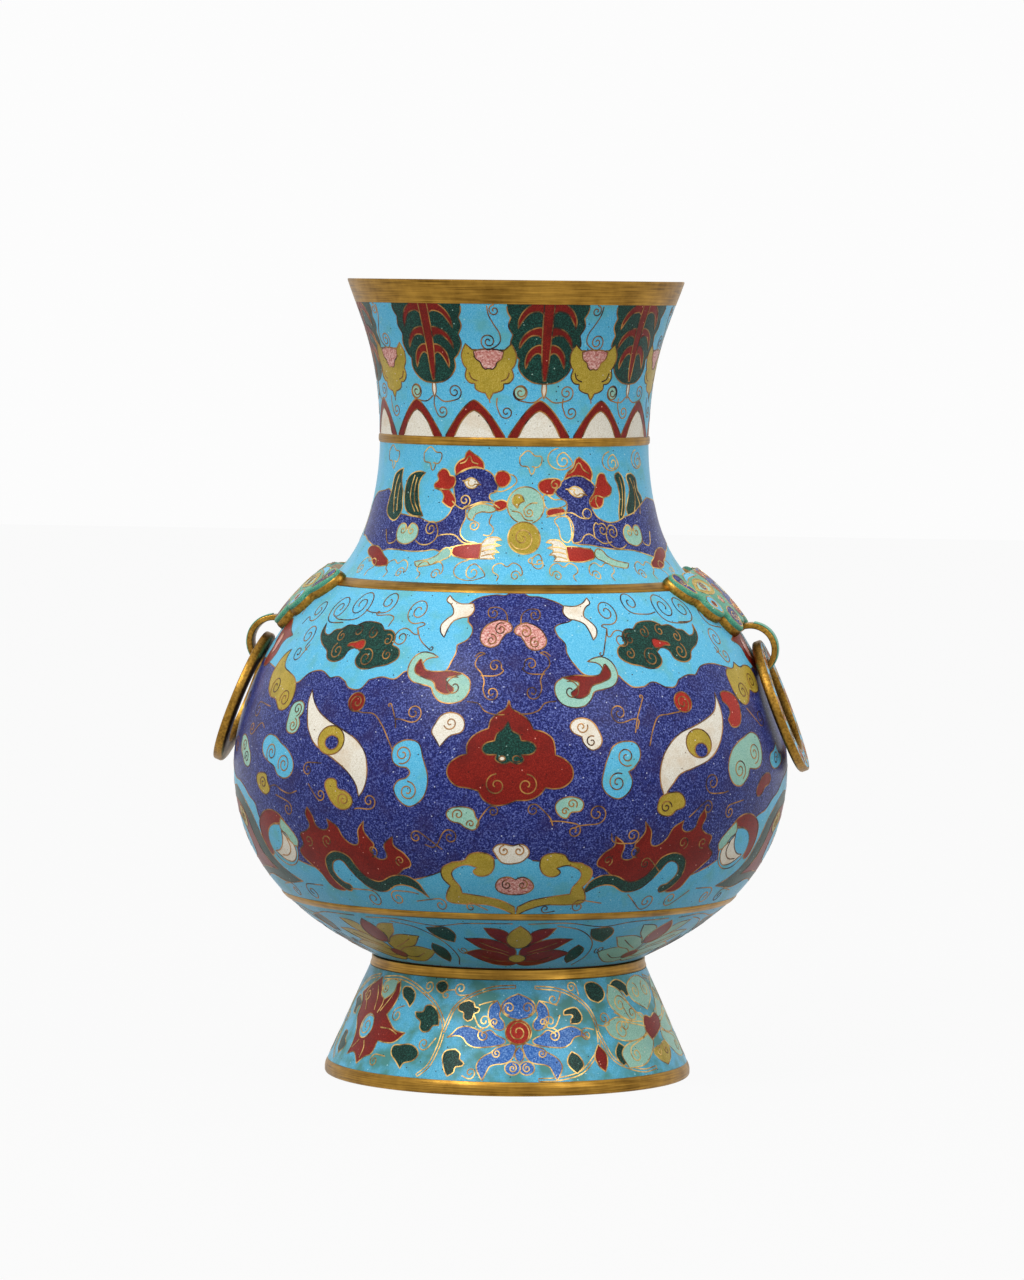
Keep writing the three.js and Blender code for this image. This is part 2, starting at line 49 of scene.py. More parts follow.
FLOOR_SIZE, PAPER_GRAIN, FLOOR_GLOW = 12, 900, 0.94
SKY_FROM, SKY_DIM, SKY_BRIGHT, WHITE_LEVEL = -0.1, 0.22, 1.15, 0.975
LAMP_SIZE, LAMP_AIM = 0.9, Vector((0, 0, 0.2))


def paint(code):
    """Linear colour of an sRGB hex value."""
    shares = [int(code[i:i + 2], 16) / 255 for i in (1, 3, 5)]
    return [s / 12.92 if s <= 0.04045 else ((s + 0.055) / 1.055) ** 2.4 for s in shares] + [1]


def add_node(tree, kind, inputs=(), **settings):
    """A shader node with its settings, and its inputs as values or as links from other nodes."""
    node = tree.nodes.new("ShaderNode" + kind)
    for key, value in settings.items():
        setattr(node, key, value)
    for socket, value in dict(inputs).items():
        if isinstance(value, bpy.types.NodeSocket):
            tree.links.new(value, node.inputs[socket])
        else:
            node.inputs[socket].default_value = value
    return node


def new_material(name):
    material = bpy.data.materials.new(name)
    material.use_nodes = True
    material.node_tree.nodes.clear()
    return material, material.node_tree


def direct_ray(tree):
    """1 for a ray from the camera or from a mirror or glass, 0 for the light that falls on things."""
    path = add_node(tree, "LightPath")
    mirrored = add_node(tree, "Math", {0: path.outputs["Is Camera Ray"], 1: path.outputs["Is Glossy Ray"]},
                        operation="MAXIMUM")
    return add_node(tree, "Math", {0: mirrored.outputs[0], 1: path.outputs["Is Transmission Ray"]},
                    operation="MAXIMUM").outputs[0]


camera = bpy.data.objects.new("camera", bpy.data.cameras.new("camera"))
bpy.context.collection.objects.link(camera)
camera.data.sensor_width = SENSOR
camera.data.lens = FOCAL_LENGTH / FRAME_HEIGHT * SENSOR
eye = Vector((math.sin(VIEW_TURN) * VIEW_DISTANCE, -math.cos(VIEW_TURN) * VIEW_DISTANCE, VIEW_HEIGHT))
tilt = math.pi / 2 - math.atan((FRAME_HEIGHT / 2 - LEVEL_LINE) / FOCAL_LENGTH)
camera.matrix_world = (Matrix.Translation(eye) @ Matrix.Rotation(VIEW_TURN, 4, "Z")
                       @ Matrix.Rotation(tilt, 4, "X") @ Matrix.Rotation(VIEW_ROLL, 4, "Z"))
bpy.context.scene.camera = camera
bpy.context.scene.view_settings.view_transform = "Standard"

bpy.ops.object.select_all(action="DESELECT")
bpy.ops.mesh.primitive_plane_add(size=FLOOR_SIZE)
floor = bpy.context.object
floor.name = "floor"
floor_paper, tree = new_material("pale studio paper")
place = add_node(tree, "TexCoord").outputs["Object"]
grain = add_node(tree, "TexNoise", {"Vector": place, "Scale": PAPER_GRAIN, "Detail": 2.0})
pale = add_node(tree, "Mix", {"Factor": grain.outputs["Fac"], "A": paint("#8b8a88"), "B": paint("#929190")},
                data_type="RGBA")
matt = add_node(tree, "BsdfDiffuse", {"Color": pale.outputs["Result"]})
glow = add_node(tree, "Emission", {"Color": (1, 1, 1, 1), "Strength": 1.0})
share = add_node(tree, "Math", {0: direct_ray(tree), 1: FLOOR_GLOW}, operation="MULTIPLY")
blend = add_node(tree, "MixShader", {0: share.outputs[0], 1: matt.outputs[0], 2: glow.outputs[0]})
add_node(tree, "OutputMaterial", {"Surface": blend.outputs[0]})
floor.data.materials.append(floor_paper)

world = bpy.data.worlds.new("sky")
world.use_nodes = True
tree = world.node_tree
tree.nodes.clear()
heading = add_node(tree, "SeparateXYZ", {0: add_node(tree, "TexCoord").outputs["Generated"]})
soft_sky = add_node(tree, "MapRange", {"Value": heading.outputs["Z"], "From Min": SKY_FROM,
                                       "To Min": SKY_DIM, "To Max": SKY_BRIGHT})
level = add_node(tree, "Mix", {"Factor": direct_ray(tree), "A": soft_sky.outputs["Result"],
                               "B": WHITE_LEVEL})
sky = add_node(tree, "Background", {"Color": (1, 1, 1, 1), "Strength": level.outputs["Result"]})
add_node(tree, "OutputWorld", {"Surface": sky.outputs[0]})
bpy.context.scene.world = world


def soft_lamp(name, place, power):
    lamp = bpy.data.lights.new(name, "AREA")
    lamp.shape, lamp.size, lamp.energy = "DISK", LAMP_SIZE, power
    holder = bpy.data.objects.new(name, lamp)
    bpy.context.collection.objects.link(holder)
    facing = (LAMP_AIM - Vector(place)).to_track_quat("-Z", "Y").to_matrix().to_4x4()
    holder.matrix_world = Matrix.Translation(place) @ facing


soft_lamp("lamp_front_left", (-0.9, -1.7, 2.1), 36)
soft_lamp("lamp_front_right", (1.6, -1.3, 1.5), 12)

# The outline of the vase, from the bowl's foot up to the mouth: four curves that meet smoothly at the
# belly, the shoulder and the waist. All the walls, panels and bands are set off from it by their depths.
BOWL_RADIUS, BOWL_Z, BOWL_SLOPE, BOWL_REACH = 65, 57.2, math.radians(26.4), 36.9
BELLY_RADIUS, BELLY_Z, BELLY_REACH_DOWN, BELLY_REACH_UP = 132.7, 149, 51.5, 26.4
SHOULDER_RADIUS, SHOULDER_Z, SHOULDER_SLOPE = 87.7, 237, math.radians(35.5)
SHOULDER_REACH_DOWN, SHOULDER_REACH_UP = 31, 27
WAIST_RADIUS, WAIST_Z, WAIST_REACH_DOWN, WAIST_REACH_UP = 64.3, 302, 8, 42
MOUTH_RADIUS, HEIGHT, MOUTH_FLARE, MOUTH_REACH = 80.6, 380, math.radians(19), 22
ENAMEL, COPPER, GAP = 1.2, 1.6, 0.3
WALL_OUTSIDE = ENAMEL + GAP
WALL_INSIDE = WALL_OUTSIDE + COPPER
ROUND_STEPS, WELD, SHARP_EDGE = 192, 0.03, math.radians(32)


def curve_through(start, first_pull, second_pull, end, count=160):
    t = np.linspace(0, 1, count + 1)[:, None]
    return ((1 - t) ** 3 * start + 3 * (1 - t) ** 2 * t * first_pull
            + 3 * (1 - t) * t ** 2 * second_pull + t ** 3 * end)


bowl, belly = np.array((BOWL_RADIUS, BOWL_Z)), np.array((BELLY_RADIUS, BELLY_Z))
shoulder, waist = np.array((SHOULDER_RADIUS, SHOULDER_Z)), np.array((WAIST_RADIUS, WAIST_Z))
mouth, upward = np.array((MOUTH_RADIUS, HEIGHT)), np.array((0, 1))
bowl_pull = BOWL_REACH * np.array((math.cos(BOWL_SLOPE), math.sin(BOWL_SLOPE)))
shoulder_fall = np.array((math.cos(SHOULDER_SLOPE), -math.sin(SHOULDER_SLOPE)))
mouth_pull = MOUTH_REACH * np.array((math.sin(MOUTH_FLARE), math.cos(MOUTH_FLARE)))
vase_outline = np.concatenate([
    curve_through(bowl, bowl + bowl_pull, belly - BELLY_REACH_DOWN * upward, belly),
    curve_through(belly, belly + BELLY_REACH_UP * upward,
                  shoulder + SHOULDER_REACH_DOWN * shoulder_fall, shoulder)[1:],
    curve_through(shoulder, shoulder - SHOULDER_REACH_UP * shoulder_fall,
                  waist - WAIST_REACH_DOWN * upward, waist)[1:],
    curve_through(waist, waist + WAIST_REACH_UP * upward, mouth - mouth_pull, mouth)[1:],
])


class Wall:
    """The skin of a turned wall: a height and a depth under the skin give a place on it."""

    def __init__(self, outline):
        step = np.diff(outline, axis=0)
        length = np.hypot(step[:, 0], step[:, 1])
        lean = np.gradient(outline, axis=0)
        lean /= np.hypot(lean[:, 0], lean[:, 1])[:, None]
        self.radii, self.heights = outline[:, 0], outline[:, 1]
        self.out, self.up = lean[:, 1], -lean[:, 0]
        self.along = np.concatenate([[0], np.cumsum(length)])
        self.spread = np.concatenate([[0], np.cumsum(length / (self.radii[1:] + self.radii[:-1]) * 2)])

    def at(self, height, table):
        return np.interp(height, self.heights, table)

    def profile(self, low, high, depth, count):
        z = np.linspace(low, high, count)
        return list(zip(self.at(z, self.radii) - depth * self.at(z, self.out),
                        z - depth * self.at(z, self.up)))


vase_wall = Wall(vase_outline)


def finish_mesh(piece, materials, nodes=(), body="vase"):
    """Materials, body and the solids that the piece stands for."""
    for material in materials:
        piece.data.materials.append(material)
    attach(piece, body)
    if nodes:
        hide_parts(*nodes)


def turned(name, profile, place=Matrix.Identity(4)):
    """A closed section swept round an axis: a ring of edges is drawn out and widened from corner to
    corner of the profile, and its end is welded to its start."""
    bpy.ops.object.select_all(action="DESELECT")
    radius, height = profile[0]
    bpy.ops.mesh.primitive_circle_add(vertices=ROUND_STEPS, radius=radius, location=(0, 0, height))
    piece = bpy.context.object
    bpy.ops.object.mode_set(mode="EDIT")
    for corner, following in zip(profile, profile[1:] + profile[:1]):
        rise, widen = following[1] - corner[1], following[0] / corner[0]
        bpy.ops.mesh.extrude_region_move(TRANSFORM_OT_translate={"value": (0, 0, rise)})
        bpy.ops.transform.resize(value=(widen, widen, 1), center_override=(0, 0, 0))
    bpy.ops.mesh.select_all(action="SELECT")
    bpy.ops.mesh.remove_doubles(threshold=WELD)
    bpy.ops.mesh.normals_make_consistent(inside=False)
    bpy.ops.object.mode_set(mode="OBJECT")
    piece.name = piece.data.name = name
    piece.matrix_world = Matrix.Scale(MM, 4) @ place @ piece.matrix_world
    bpy.ops.object.transform_apply(location=True, rotation=True, scale=True)
    bpy.ops.object.shade_smooth_by_angle(angle=SHARP_EDGE)
    return piece


# The copper shells: neck, body, bowl and foot are beaten from copper sheet and soldered together under
# the gilt bands. Only their inside shows: dull copper, browned by age, with the planishing hammer's
# shallow facets.
HAMMER_FACET, TARNISH_PATCH = 9, 22

beaten_copper, tree = new_material("beaten copper, browned")
place = add_node(tree, "TexCoord").outputs["Object"]
patches = add_node(tree, "TexNoise", {"Vector": place, "Scale": 1 / (TARNISH_PATCH * MM), "Detail": 6.0})
copper_colour = add_node(tree, "Mix", {"Factor": patches.outputs["Fac"], "A": paint("#5a3826"),
                                       "B": paint("#8f6244")}, data_type="RGBA")
blows = add_node(tree, "TexVoronoi", {"Vector": place, "Scale": 1 / (HAMMER_FACET * MM),
                                        "Smoothness": 0.6}, feature="SMOOTH_F1")
hammered = add_node(tree, "Bump", {"Height": blows.outputs["Distance"], "Strength": 0.5,
                                   "Distance": 0.0006})
shader = add_node(tree, "BsdfPrincipled", {"Base Color": copper_colour.outputs["Result"], "Metallic": 1.0,
                                           "Roughness": 0.5, "Normal": hammered.outputs[0]})
add_node(tree, "OutputMaterial", {"Surface": shader.outputs[0]})

POLE = 0.01
NECK_SHELL, BODY_SHELL = (237.4, 376.6), (87.4, 236.9)
BOWL_UNDERSIDE, BOWL_FLOOR, BOWL_SHELL_TOP = 58.5, 60.1, 86.9
BOWL_SHELL_LOW, BOWL_SHELL_INSIDE_LOW = 60, 62.4
FOOT_RIM_HEIGHT, FOOT_RADIUS, COLLAR_BOTTOM, FLARE_TOP_RADIUS = 6.6, 86.4, 51.9, 66.3
FOOT_SHELL_LOW, FOOT_SHELL_TOP, FOOT_SHELL_INSIDE_TOP = 6.9, 50.3, 48.7
SPIGOT_OUTSIDE, SPIGOT_INSIDE, SPIGOT_TOP = 63.1, 61.5, 58.2
foot_wall = Wall(np.linspace((FOOT_RADIUS, FOOT_RIM_HEIGHT), (FLARE_TOP_RADIUS, COLLAR_BOTTOM), 41))


def shell(name, profile):
    finish_mesh(turned(name + "_copper", profile), [beaten_copper], [name])


for name, (low, high), count in (("neck_shell", NECK_SHELL, 40), ("body_shell", BODY_SHELL, 48)):
    shell(name, vase_wall.profile(low, high, WALL_OUTSIDE, count)
          + vase_wall.profile(low, high, WALL_INSIDE, count)[::-1])
shell("bowl_shell", [(POLE, BOWL_UNDERSIDE)]
      + vase_wall.profile(BOWL_SHELL_LOW, BOWL_SHELL_TOP, WALL_OUTSIDE, 14)
      + vase_wall.profile(BOWL_SHELL_INSIDE_LOW, BOWL_SHELL_TOP, WALL_INSIDE, 14)[::-1]
      + [(POLE, BOWL_FLOOR)])
shell("foot_shell", foot_wall.profile(FOOT_SHELL_LOW, FOOT_SHELL_TOP, WALL_OUTSIDE, 8)
      + [(SPIGOT_OUTSIDE, COLLAR_BOTTOM), (SPIGOT_OUTSIDE, SPIGOT_TOP), (SPIGOT_INSIDE, SPIGOT_TOP),
         (SPIGOT_INSIDE, FOOT_SHELL_TOP)]
      + foot_wall.profile(FOOT_SHELL_LOW, FOOT_SHELL_INSIDE_TOP, WALL_INSIDE, 8)[::-1])

# The gilt bands and rims: copper bands soldered over the joints between the walls, filed to a low crown
# and mercury-gilt. The gilding is a warm gold, brushed round the vase, and worn to brown copper in
# patches. The castings and the rings are gilt the same way, but only rubbed.
BRUSH_MARK, WEAR_PATCH = 0.45, 14


def gilded(name, drawn_out):
    """Fire-gilding over copper, its brush marks drawn out along the directions with the small scale."""
    material, tree = new_material(name)
    place = add_node(tree, "TexCoord").outputs["Object"]
    across = add_node(tree, "Mapping", {"Vector": place, "Scale": drawn_out})
    brushing = add_node(tree, "TexNoise", {"Vector": across.outputs[0], "Scale": 1 / (BRUSH_MARK * MM),
                                           "Detail": 3.0})
    wear = add_node(tree, "TexNoise", {"Vector": place, "Scale": 1 / (WEAR_PATCH * MM), "Detail": 8.0,
                                       "Roughness": 0.62})
    worn = add_node(tree, "ValToRGB", {"Fac": wear.outputs["Fac"]})
    bare, golden = worn.color_ramp.elements
    bare.position, bare.color = 0.36, paint("#4c350f")
    golden.position, golden.color = 0.66, paint("#a57f35")
    strokes = add_node(tree, "MapRange", {"Value": brushing.outputs["Fac"], "From Min": 0.3,
                                          "From Max": 0.7})
    streaks = add_node(tree, "Mix", {"Factor": strokes.outputs["Result"], "A": paint("#684818"),
                                     "B": paint("#cf9c42")}, data_type="RGBA")
    gilding = add_node(tree, "Mix", {"Factor": 0.5, "A": worn.outputs["Color"],
                                     "B": streaks.outputs["Result"]}, data_type="RGBA")
    dullness = add_node(tree, "MapRange", {"Value": wear.outputs["Fac"], "To Min": 0.52, "To Max": 0.3})
    scratches = add_node(tree, "Bump", {"Height": brushing.outputs["Fac"], "Strength": 0.25,
                                        "Distance": 0.0001})
    shader = add_node(tree, "BsdfPrincipled", {"Base Color": gilding.outputs["Result"], "Metallic": 1.0,
                                               "Roughness": dullness.outputs["Result"],
                                               "Normal": scratches.outputs[0]})
    add_node(tree, "OutputMaterial", {"Surface": shader.outputs[0]})
    return material


gilt = gilded("fire-gilt copper, brushed", (0.02, 0.02, 1))
rubbed_gilt = gilded("fire-gilt copper, rubbed", (0.4, 0.4, 0.4))

CROWN, BAND_POINTS = 0.5, 9
NECK_BAND, SHOULDER_BAND, BELLY_BAND = (302.4, 306.4), (235.1, 238.9), (84.5, 87.9)
RIM_DEPTH, LIP_WIDTH, LIP_THICKNESS, LIP_ROUND = 11.2, 3.3, 2.4, 0.7


def band(low, high):
    """A band with its ends cut square to the wall and its face filed to a crown."""
    z = np.linspace(low, high, BAND_POINTS)
    bulge = CROWN * (1 - np.linspace(-1, 1, BAND_POINTS) ** 4)
    face = zip(vase_wall.at(z, vase_wall.radii) + bulge * vase_wall.at(z, vase_wall.out),
               z + bulge * vase_wall.at(z, vase_wall.up))
    return list(face) + vase_wall.profile(low, high, ENAMEL, BAND_POINTS)[::-1]


LIP_INSIDE = MOUTH_RADIUS - LIP_WIDTH
mouth_rim = (vase_wall.profile(HEIGHT - RIM_DEPTH, HEIGHT - LIP_ROUND, 0, 12)
             + [(MOUTH_RADIUS - 0.3, HEIGHT - 0.15), (MOUTH_RADIUS - 0.8, HEIGHT),
                (LIP_INSIDE + 0.6, HEIGHT), (LIP_INSIDE, HEIGHT - 0.6),
                (LIP_INSIDE - 0.7, HEIGHT - LIP_THICKNESS)]
             + vase_wall.profile(HEIGHT - RIM_DEPTH, HEIGHT - LIP_THICKNESS, ENAMEL, 8)[::-1])
COLLAR_INSIDE, COLLAR_TOP = 63.4, 56.9
foot_collar = [(65, COLLAR_TOP), (COLLAR_INSIDE, COLLAR_TOP), (COLLAR_INSIDE, COLLAR_BOTTOM),
               (66, COLLAR_BOTTOM), (66.3, 52.4), (65.9, 53.6), (65.5, 54.6), (65.6, 55.6), (65.5, 56.5)]
foot_rim = [(82.5, 0), (86.9, 0), (87.4, 0.3), (87.7, 0.9), (87.7, 3), (87.4, 4.4), (86.9, 5.6),
            (86.3, 6.5), (83, 6.6), (82.5, 6)]
base_plate = [(POLE, 44), (66.1, 44), (66.1, 45.1), (POLE, 45.2)]
for name, profile in (("neck_band", band(*NECK_BAND)), ("shoulder_band", band(*SHOULDER_BAND)),
                      ("belly_band", band(*BELLY_BAND)), ("mouth_rim", mouth_rim),
                      ("foot_collar", foot_collar), ("foot_rim", foot_rim), ("base_plate", base_plate)):
    finish_mesh(turned("gilt_" + name, profile), [gilt], [name])

# The enamels: glass ground to grains, coloured with metal oxides, laid wet between the wires, fired
# opaque several times and ground flush. Each glass keeps its own grain, its fine pits and pale flecks,
# and a soft polish. The wires stand a little proud of it, gilt or worn to brown copper.
GRAIN, PIT_SPACING, PIT_SIZE, WAVE, STAIN_PATCH, STAIN_SPREAD = 0.55, 3.4, 0.1, 9, 11, 0.18
GLASS_IOR, GLASS_SHEEN = 1.5, 0.16


def glass(name, dark, middle, light, stain, stain_share=0.3, grain=GRAIN, pit="#2e2a26", fleck="#d9d2c4",
          stain_from=0.5):
    """An opaque enamel: two grains of its own colour, stained patches, pits, pale flecks and a polish."""
    material, tree = new_material(name + " enamel")
    place = add_node(tree, "TexCoord").outputs["Object"]
    fine = add_node(tree, "TexNoise", {"Vector": place, "Scale": 1 / (grain * MM), "Detail": 3.0,
                                       "Roughness": 0.7})
    grains = add_node(tree, "ValToRGB", {"Fac": fine.outputs["Fac"]})
    deep, pale = grains.color_ramp.elements
    deep.position, deep.color = 0.36, paint(dark)
    pale.position, pale.color = 0.67, paint(light)
    grains.color_ramp.elements.new(0.5).color = paint(middle)
    broad = add_node(tree, "TexNoise", {"Vector": place, "Scale": 1 / (STAIN_PATCH * MM), "Detail": 5.0})
    spread = add_node(tree, "MapRange", {"Value": broad.outputs["Fac"], "From Min": stain_from,
                                         "From Max": stain_from + STAIN_SPREAD, "To Max": stain_share})
    stained = add_node(tree, "Mix", {"Factor": spread.outputs["Result"], "A": grains.outputs["Color"],
                                     "B": paint(stain)}, data_type="RGBA")
    spots = add_node(tree, "TexVoronoi", {"Vector": place, "Scale": 1 / (PIT_SPACING * MM)})
    near = add_node(tree, "Math", {0: spots.outputs["Distance"], 1: PIT_SIZE}, operation="LESS_THAN")
    chosen = add_node(tree, "Math", {0: spots.outputs["Color"], 1: 0.5}, operation="GREATER_THAN")
    mark = add_node(tree, "Mix", {"Factor": chosen.outputs[0], "A": paint(pit), "B": paint(fleck)},
                    data_type="RGBA")
    pitted = add_node(tree, "Mix", {"Factor": near.outputs[0], "A": stained.outputs["Result"],
                                    "B": mark.outputs["Result"]}, data_type="RGBA")
    wave = add_node(tree, "TexNoise", {"Vector": place, "Scale": 1 / (WAVE * MM), "Detail": 2.0})
    sunk = add_node(tree, "Math", {0: near.outputs[0], 1: -0.5, 2: wave.outputs["Fac"]},
                    operation="MULTIPLY_ADD")
    relief = add_node(tree, "Bump", {"Height": sunk.outputs[0], "Strength": 0.35, "Distance": 0.0003})
    polish = add_node(tree, "MapRange", {"Value": broad.outputs["Fac"], "To Min": 0.28, "To Max": 0.44})
    shader = add_node(tree, "BsdfPrincipled", {"Base Color": pitted.outputs["Result"], "IOR": GLASS_IOR,
                                               "Specular IOR Level": GLASS_SHEEN,
                                               "Roughness": polish.outputs["Result"],
                                               "Normal": relief.outputs[0]})
    add_node(tree, "OutputMaterial", {"Surface": shader.outputs[0]})
    return material


glasses = {
    "turquoise": glass("turquoise", "#45a6cf", "#5bb8dc", "#7bcae6", "#62aca6", 0.6, fleck="#a9dbe4"),
    "teal": glass("greened turquoise", "#449fc0", "#58b1d4", "#74c4de", "#4c8a84", 0.95, fleck="#a9dbe4",
                  stain_from=0.42),
    "jade": glass("jade green", "#3c8468", "#519c7e", "#72b496", "#3f8a80", 0.4, pit="#24483c"),
    "lapis": glass("lapis blue", "#0b1142", "#1c2570", "#6d7abb", "#2a2152", 0.6, grain=0.8, pit="#0d1030",
                   fleck="#b9bfd9"),
    "bright_blue": glass("bright blue", "#2452a0", "#3d73bd", "#7fa6da", "#3b5f9c", grain=0.8,
                         fleck="#b9cbe6"),
    "forest": glass("dark green", "#041a15", "#08342b", "#2c6356", "#06231d", 0.4, grain=0.6, pit="#0a1210",
                    fleck="#8fb0a4"),
    "red": glass("brick red", "#621009", "#7a170e", "#96281b", "#560e08", 0.5, pit="#3a0d08",
                 fleck="#d98a78"),
    "coral": glass("bright red", "#8e1b11", "#a4271a", "#bb3d2e", "#7c1a10", 0.4, pit="#5a1a12",
                   fleck="#e0a090"),
    "ochre": glass("yellow ochre", "#9c8528", "#b39a35", "#c6ae55", "#8a7a22", 0.5, pit="#4c4014"),
    "white": glass("white", "#d3c9b4", "#e8e2d2", "#f4f0e6", "#d2b894", 0.5, pit="#6d5a45"),
    "pink": glass("speckled pink", "#a04f48", "#cf8f86", "#f0cfc4", "#c07468", 0.4, grain=0.9,
                  pit="#7a3028"),
    "pale_green": glass("pale green", "#7fb09c", "#95c4b1", "#abd3c3", "#83b5ae", 0.5, pit="#47645a"),
}
GLASS_ORDER = list(glasses)


WIRE_WIDTH, WIRE_BEVEL, WIRE_PROUD, WIRE_SUNK = 0.66, 0.86, 0.1, 0.3


def new_piece(name, points, faces):
    """A mesh object from points in millimetres."""
    mesh = bpy.data.meshes.new(name)
    mesh.from_pydata((points * MM).tolist(), [], faces)
    piece = bpy.data.objects.new(name, mesh)
    bpy.context.collection.objects.link(piece)
    return piece


class Wires:
    """Points and faces of many flattened wires on edge, gathered for one mesh."""

    def __init__(self, width):
        self.width, self.points, self.faces = width, [], []

    def add(self, middle, out, closed):
        after, before = np.roll(middle, -1, axis=0), np.roll(middle, 1, axis=0)
        if not closed:
            after[-1], before[0] = middle[-1], middle[0]
        along = after - before
        along /= np.linalg.norm(along, axis=1)[:, None] + 1e-12
        side = np.cross(out, along) * self.width / 2
        section = [middle - side - out * WIRE_SUNK, middle - side * WIRE_BEVEL + out * WIRE_PROUD,
                   middle + side * WIRE_BEVEL + out * WIRE_PROUD, middle + side - out * WIRE_SUNK]
        start, count = sum(len(p) for p in self.points), len(middle)
        self.points.append(np.stack(section, axis=1).reshape(-1, 3))
        for i in range(count if closed else count - 1):
            a, b = start + 4 * i, start + 4 * ((i + 1) % count)
            self.faces += [(a + k, b + k, b + (k + 1) % 4, a + (k + 1) % 4) for k in range(4)]
        if not closed:
            end = start + 4 * (count - 1)
            self.faces += [(start, start + 1, start + 2, start + 3), (end + 3, end + 2, end + 1, end)]


def gilt_wire(name, dark, light, patch):
    """Flattened copper wire, gilt where it was polished and browned where the gilding is gone."""
    material, tree = new_material(name)
    place = add_node(tree, "TexCoord").outputs["Object"]
    wear = add_node(tree, "TexNoise", {"Vector": place, "Scale": 1 / (patch * MM), "Detail": 4.0,
                                       "Roughness": 0.7})
    tone = add_node(tree, "ValToRGB", {"Fac": wear.outputs["Fac"]})
    bare, golden = tone.color_ramp.elements
    bare.position, bare.color = 0.4, paint(dark)
    golden.position, golden.color = 0.62, paint(light)
    shader = add_node(tree, "BsdfPrincipled", {"Base Color": tone.outputs["Color"], "Metallic": 0.7,
                                               "Roughness": 0.42})
    add_node(tree, "OutputMaterial", {"Surface": shader.outputs[0]})
    return material


brown_wire = gilt_wire("copper wire, browned", "#35221a", "#ae7c3f", 13)
bright_wire = gilt_wire("copper wire, gilt", "#785628", "#e8c071", 9)
CORNER, ON_TOP = True, 10 ** 6
CURL_SPREAD, CURL_WOUND, CURL_POINTS = 1.15, 0.84, 12
POINT_SPACING, GRID_HEIGHT, GRID_AZIMUTH, GRID_OFFSET, EDGE_POINTS = 1.15, 2.6, 2, 0.37, 360


def placed(points, middle, side=1):
    """An outline that is given as offsets from its middle, or its mirror image."""
    return [(middle + side * p[0], *p[1:]) for p in points]


def mirrored(half, middle):
    """A closed outline from its right half, listed from top to bottom as offsets from the middle."""
    left = [p for p in reversed(half) if abs(p[0]) > 0.01]
    return placed(half, middle) + placed(left, middle, -1)


def smooth(points, scale, closed=True):
    """A curve through (azimuth, height) points, with a corner at each point that is marked as one."""
    spots = np.array([(p[0] * scale, p[1]) for p in points], float)
    sharp = [len(p) > 2 for p in points]
    count = len(spots)
    spans = count if closed else count - 1
    curve = []
    for i in range(spans):
        start, end = spots[i], spots[(i + 1) % count]
        chord = end - start
        length = math.hypot(*chord) + 1e-9
        pulls = []
        for k in (i, (i + 1) % count):
            free = sharp[k] or (not closed and k in (0, count - 1))
            lean = chord if free else spots[(k + 1) % count] - spots[k - 1]
            pulls.append(lean / (math.hypot(*lean) + 1e-9) * length)
        steps = max(2, math.ceil(length / POINT_SPACING))
        t = np.linspace(0, 1, steps + 1)[:-1, None]
        curve.append((2 * t ** 3 - 3 * t ** 2 + 1) * start + (t ** 3 - 2 * t ** 2 + t) * pulls[0]
                     + (3 * t ** 2 - 2 * t ** 3) * end + (t ** 3 - t ** 2) * pulls[1])
    if not closed:
        curve.append(spots[-1:])
    curve = np.concatenate(curve)
    return np.stack([curve[:, 0] / scale, curve[:, 1]], axis=1)


def cut_up(spots, outlines, closeness, hole=None):
    """The first outline's inside in triangles: points, faces, and the last outline that each lies in."""
    flat, ends = [Vector(spot) for spot in spots], np.cumsum([0] + [len(line) for line in outlines])
    verts, _, tris, _, _, sources = delaunay_2d_cdt(flat, [], outline_faces(flat, ends), 1, closeness, True)
    kept = [(t, max(s)) for t, s in zip(tris, sources) if 0 in s and hole not in s]
    used = sorted({v for t, _ in kept for v in t})
    number = {v: i for i, v in enumerate(used)}
    return (np.array([verts[v][:2] for v in used]), [[number[v] for v in t] for t, _ in kept],
            [source for _, source in kept])


def facing_out(faces, skin, out):
    """The faces, turned over together if they look inwards."""
    a, b, c = (skin[[face[k] for face in faces]] for k in range(3))
    inwards = (np.cross(b - a, c - a) * out[[face[0] for face in faces]]).sum() < 0
    return [face[::-1] for face in faces] if inwards else faces


def rim_of(faces):
    """The open edges of some faces, and the points on them."""
    sides = {(a, b) for face in faces for a, b in zip(face, face[1:] + face[:1])}
    rim = [(a, b) for a, b in sides if (b, a) not in sides]
    return rim, sorted({v for edge in rim for v in edge})


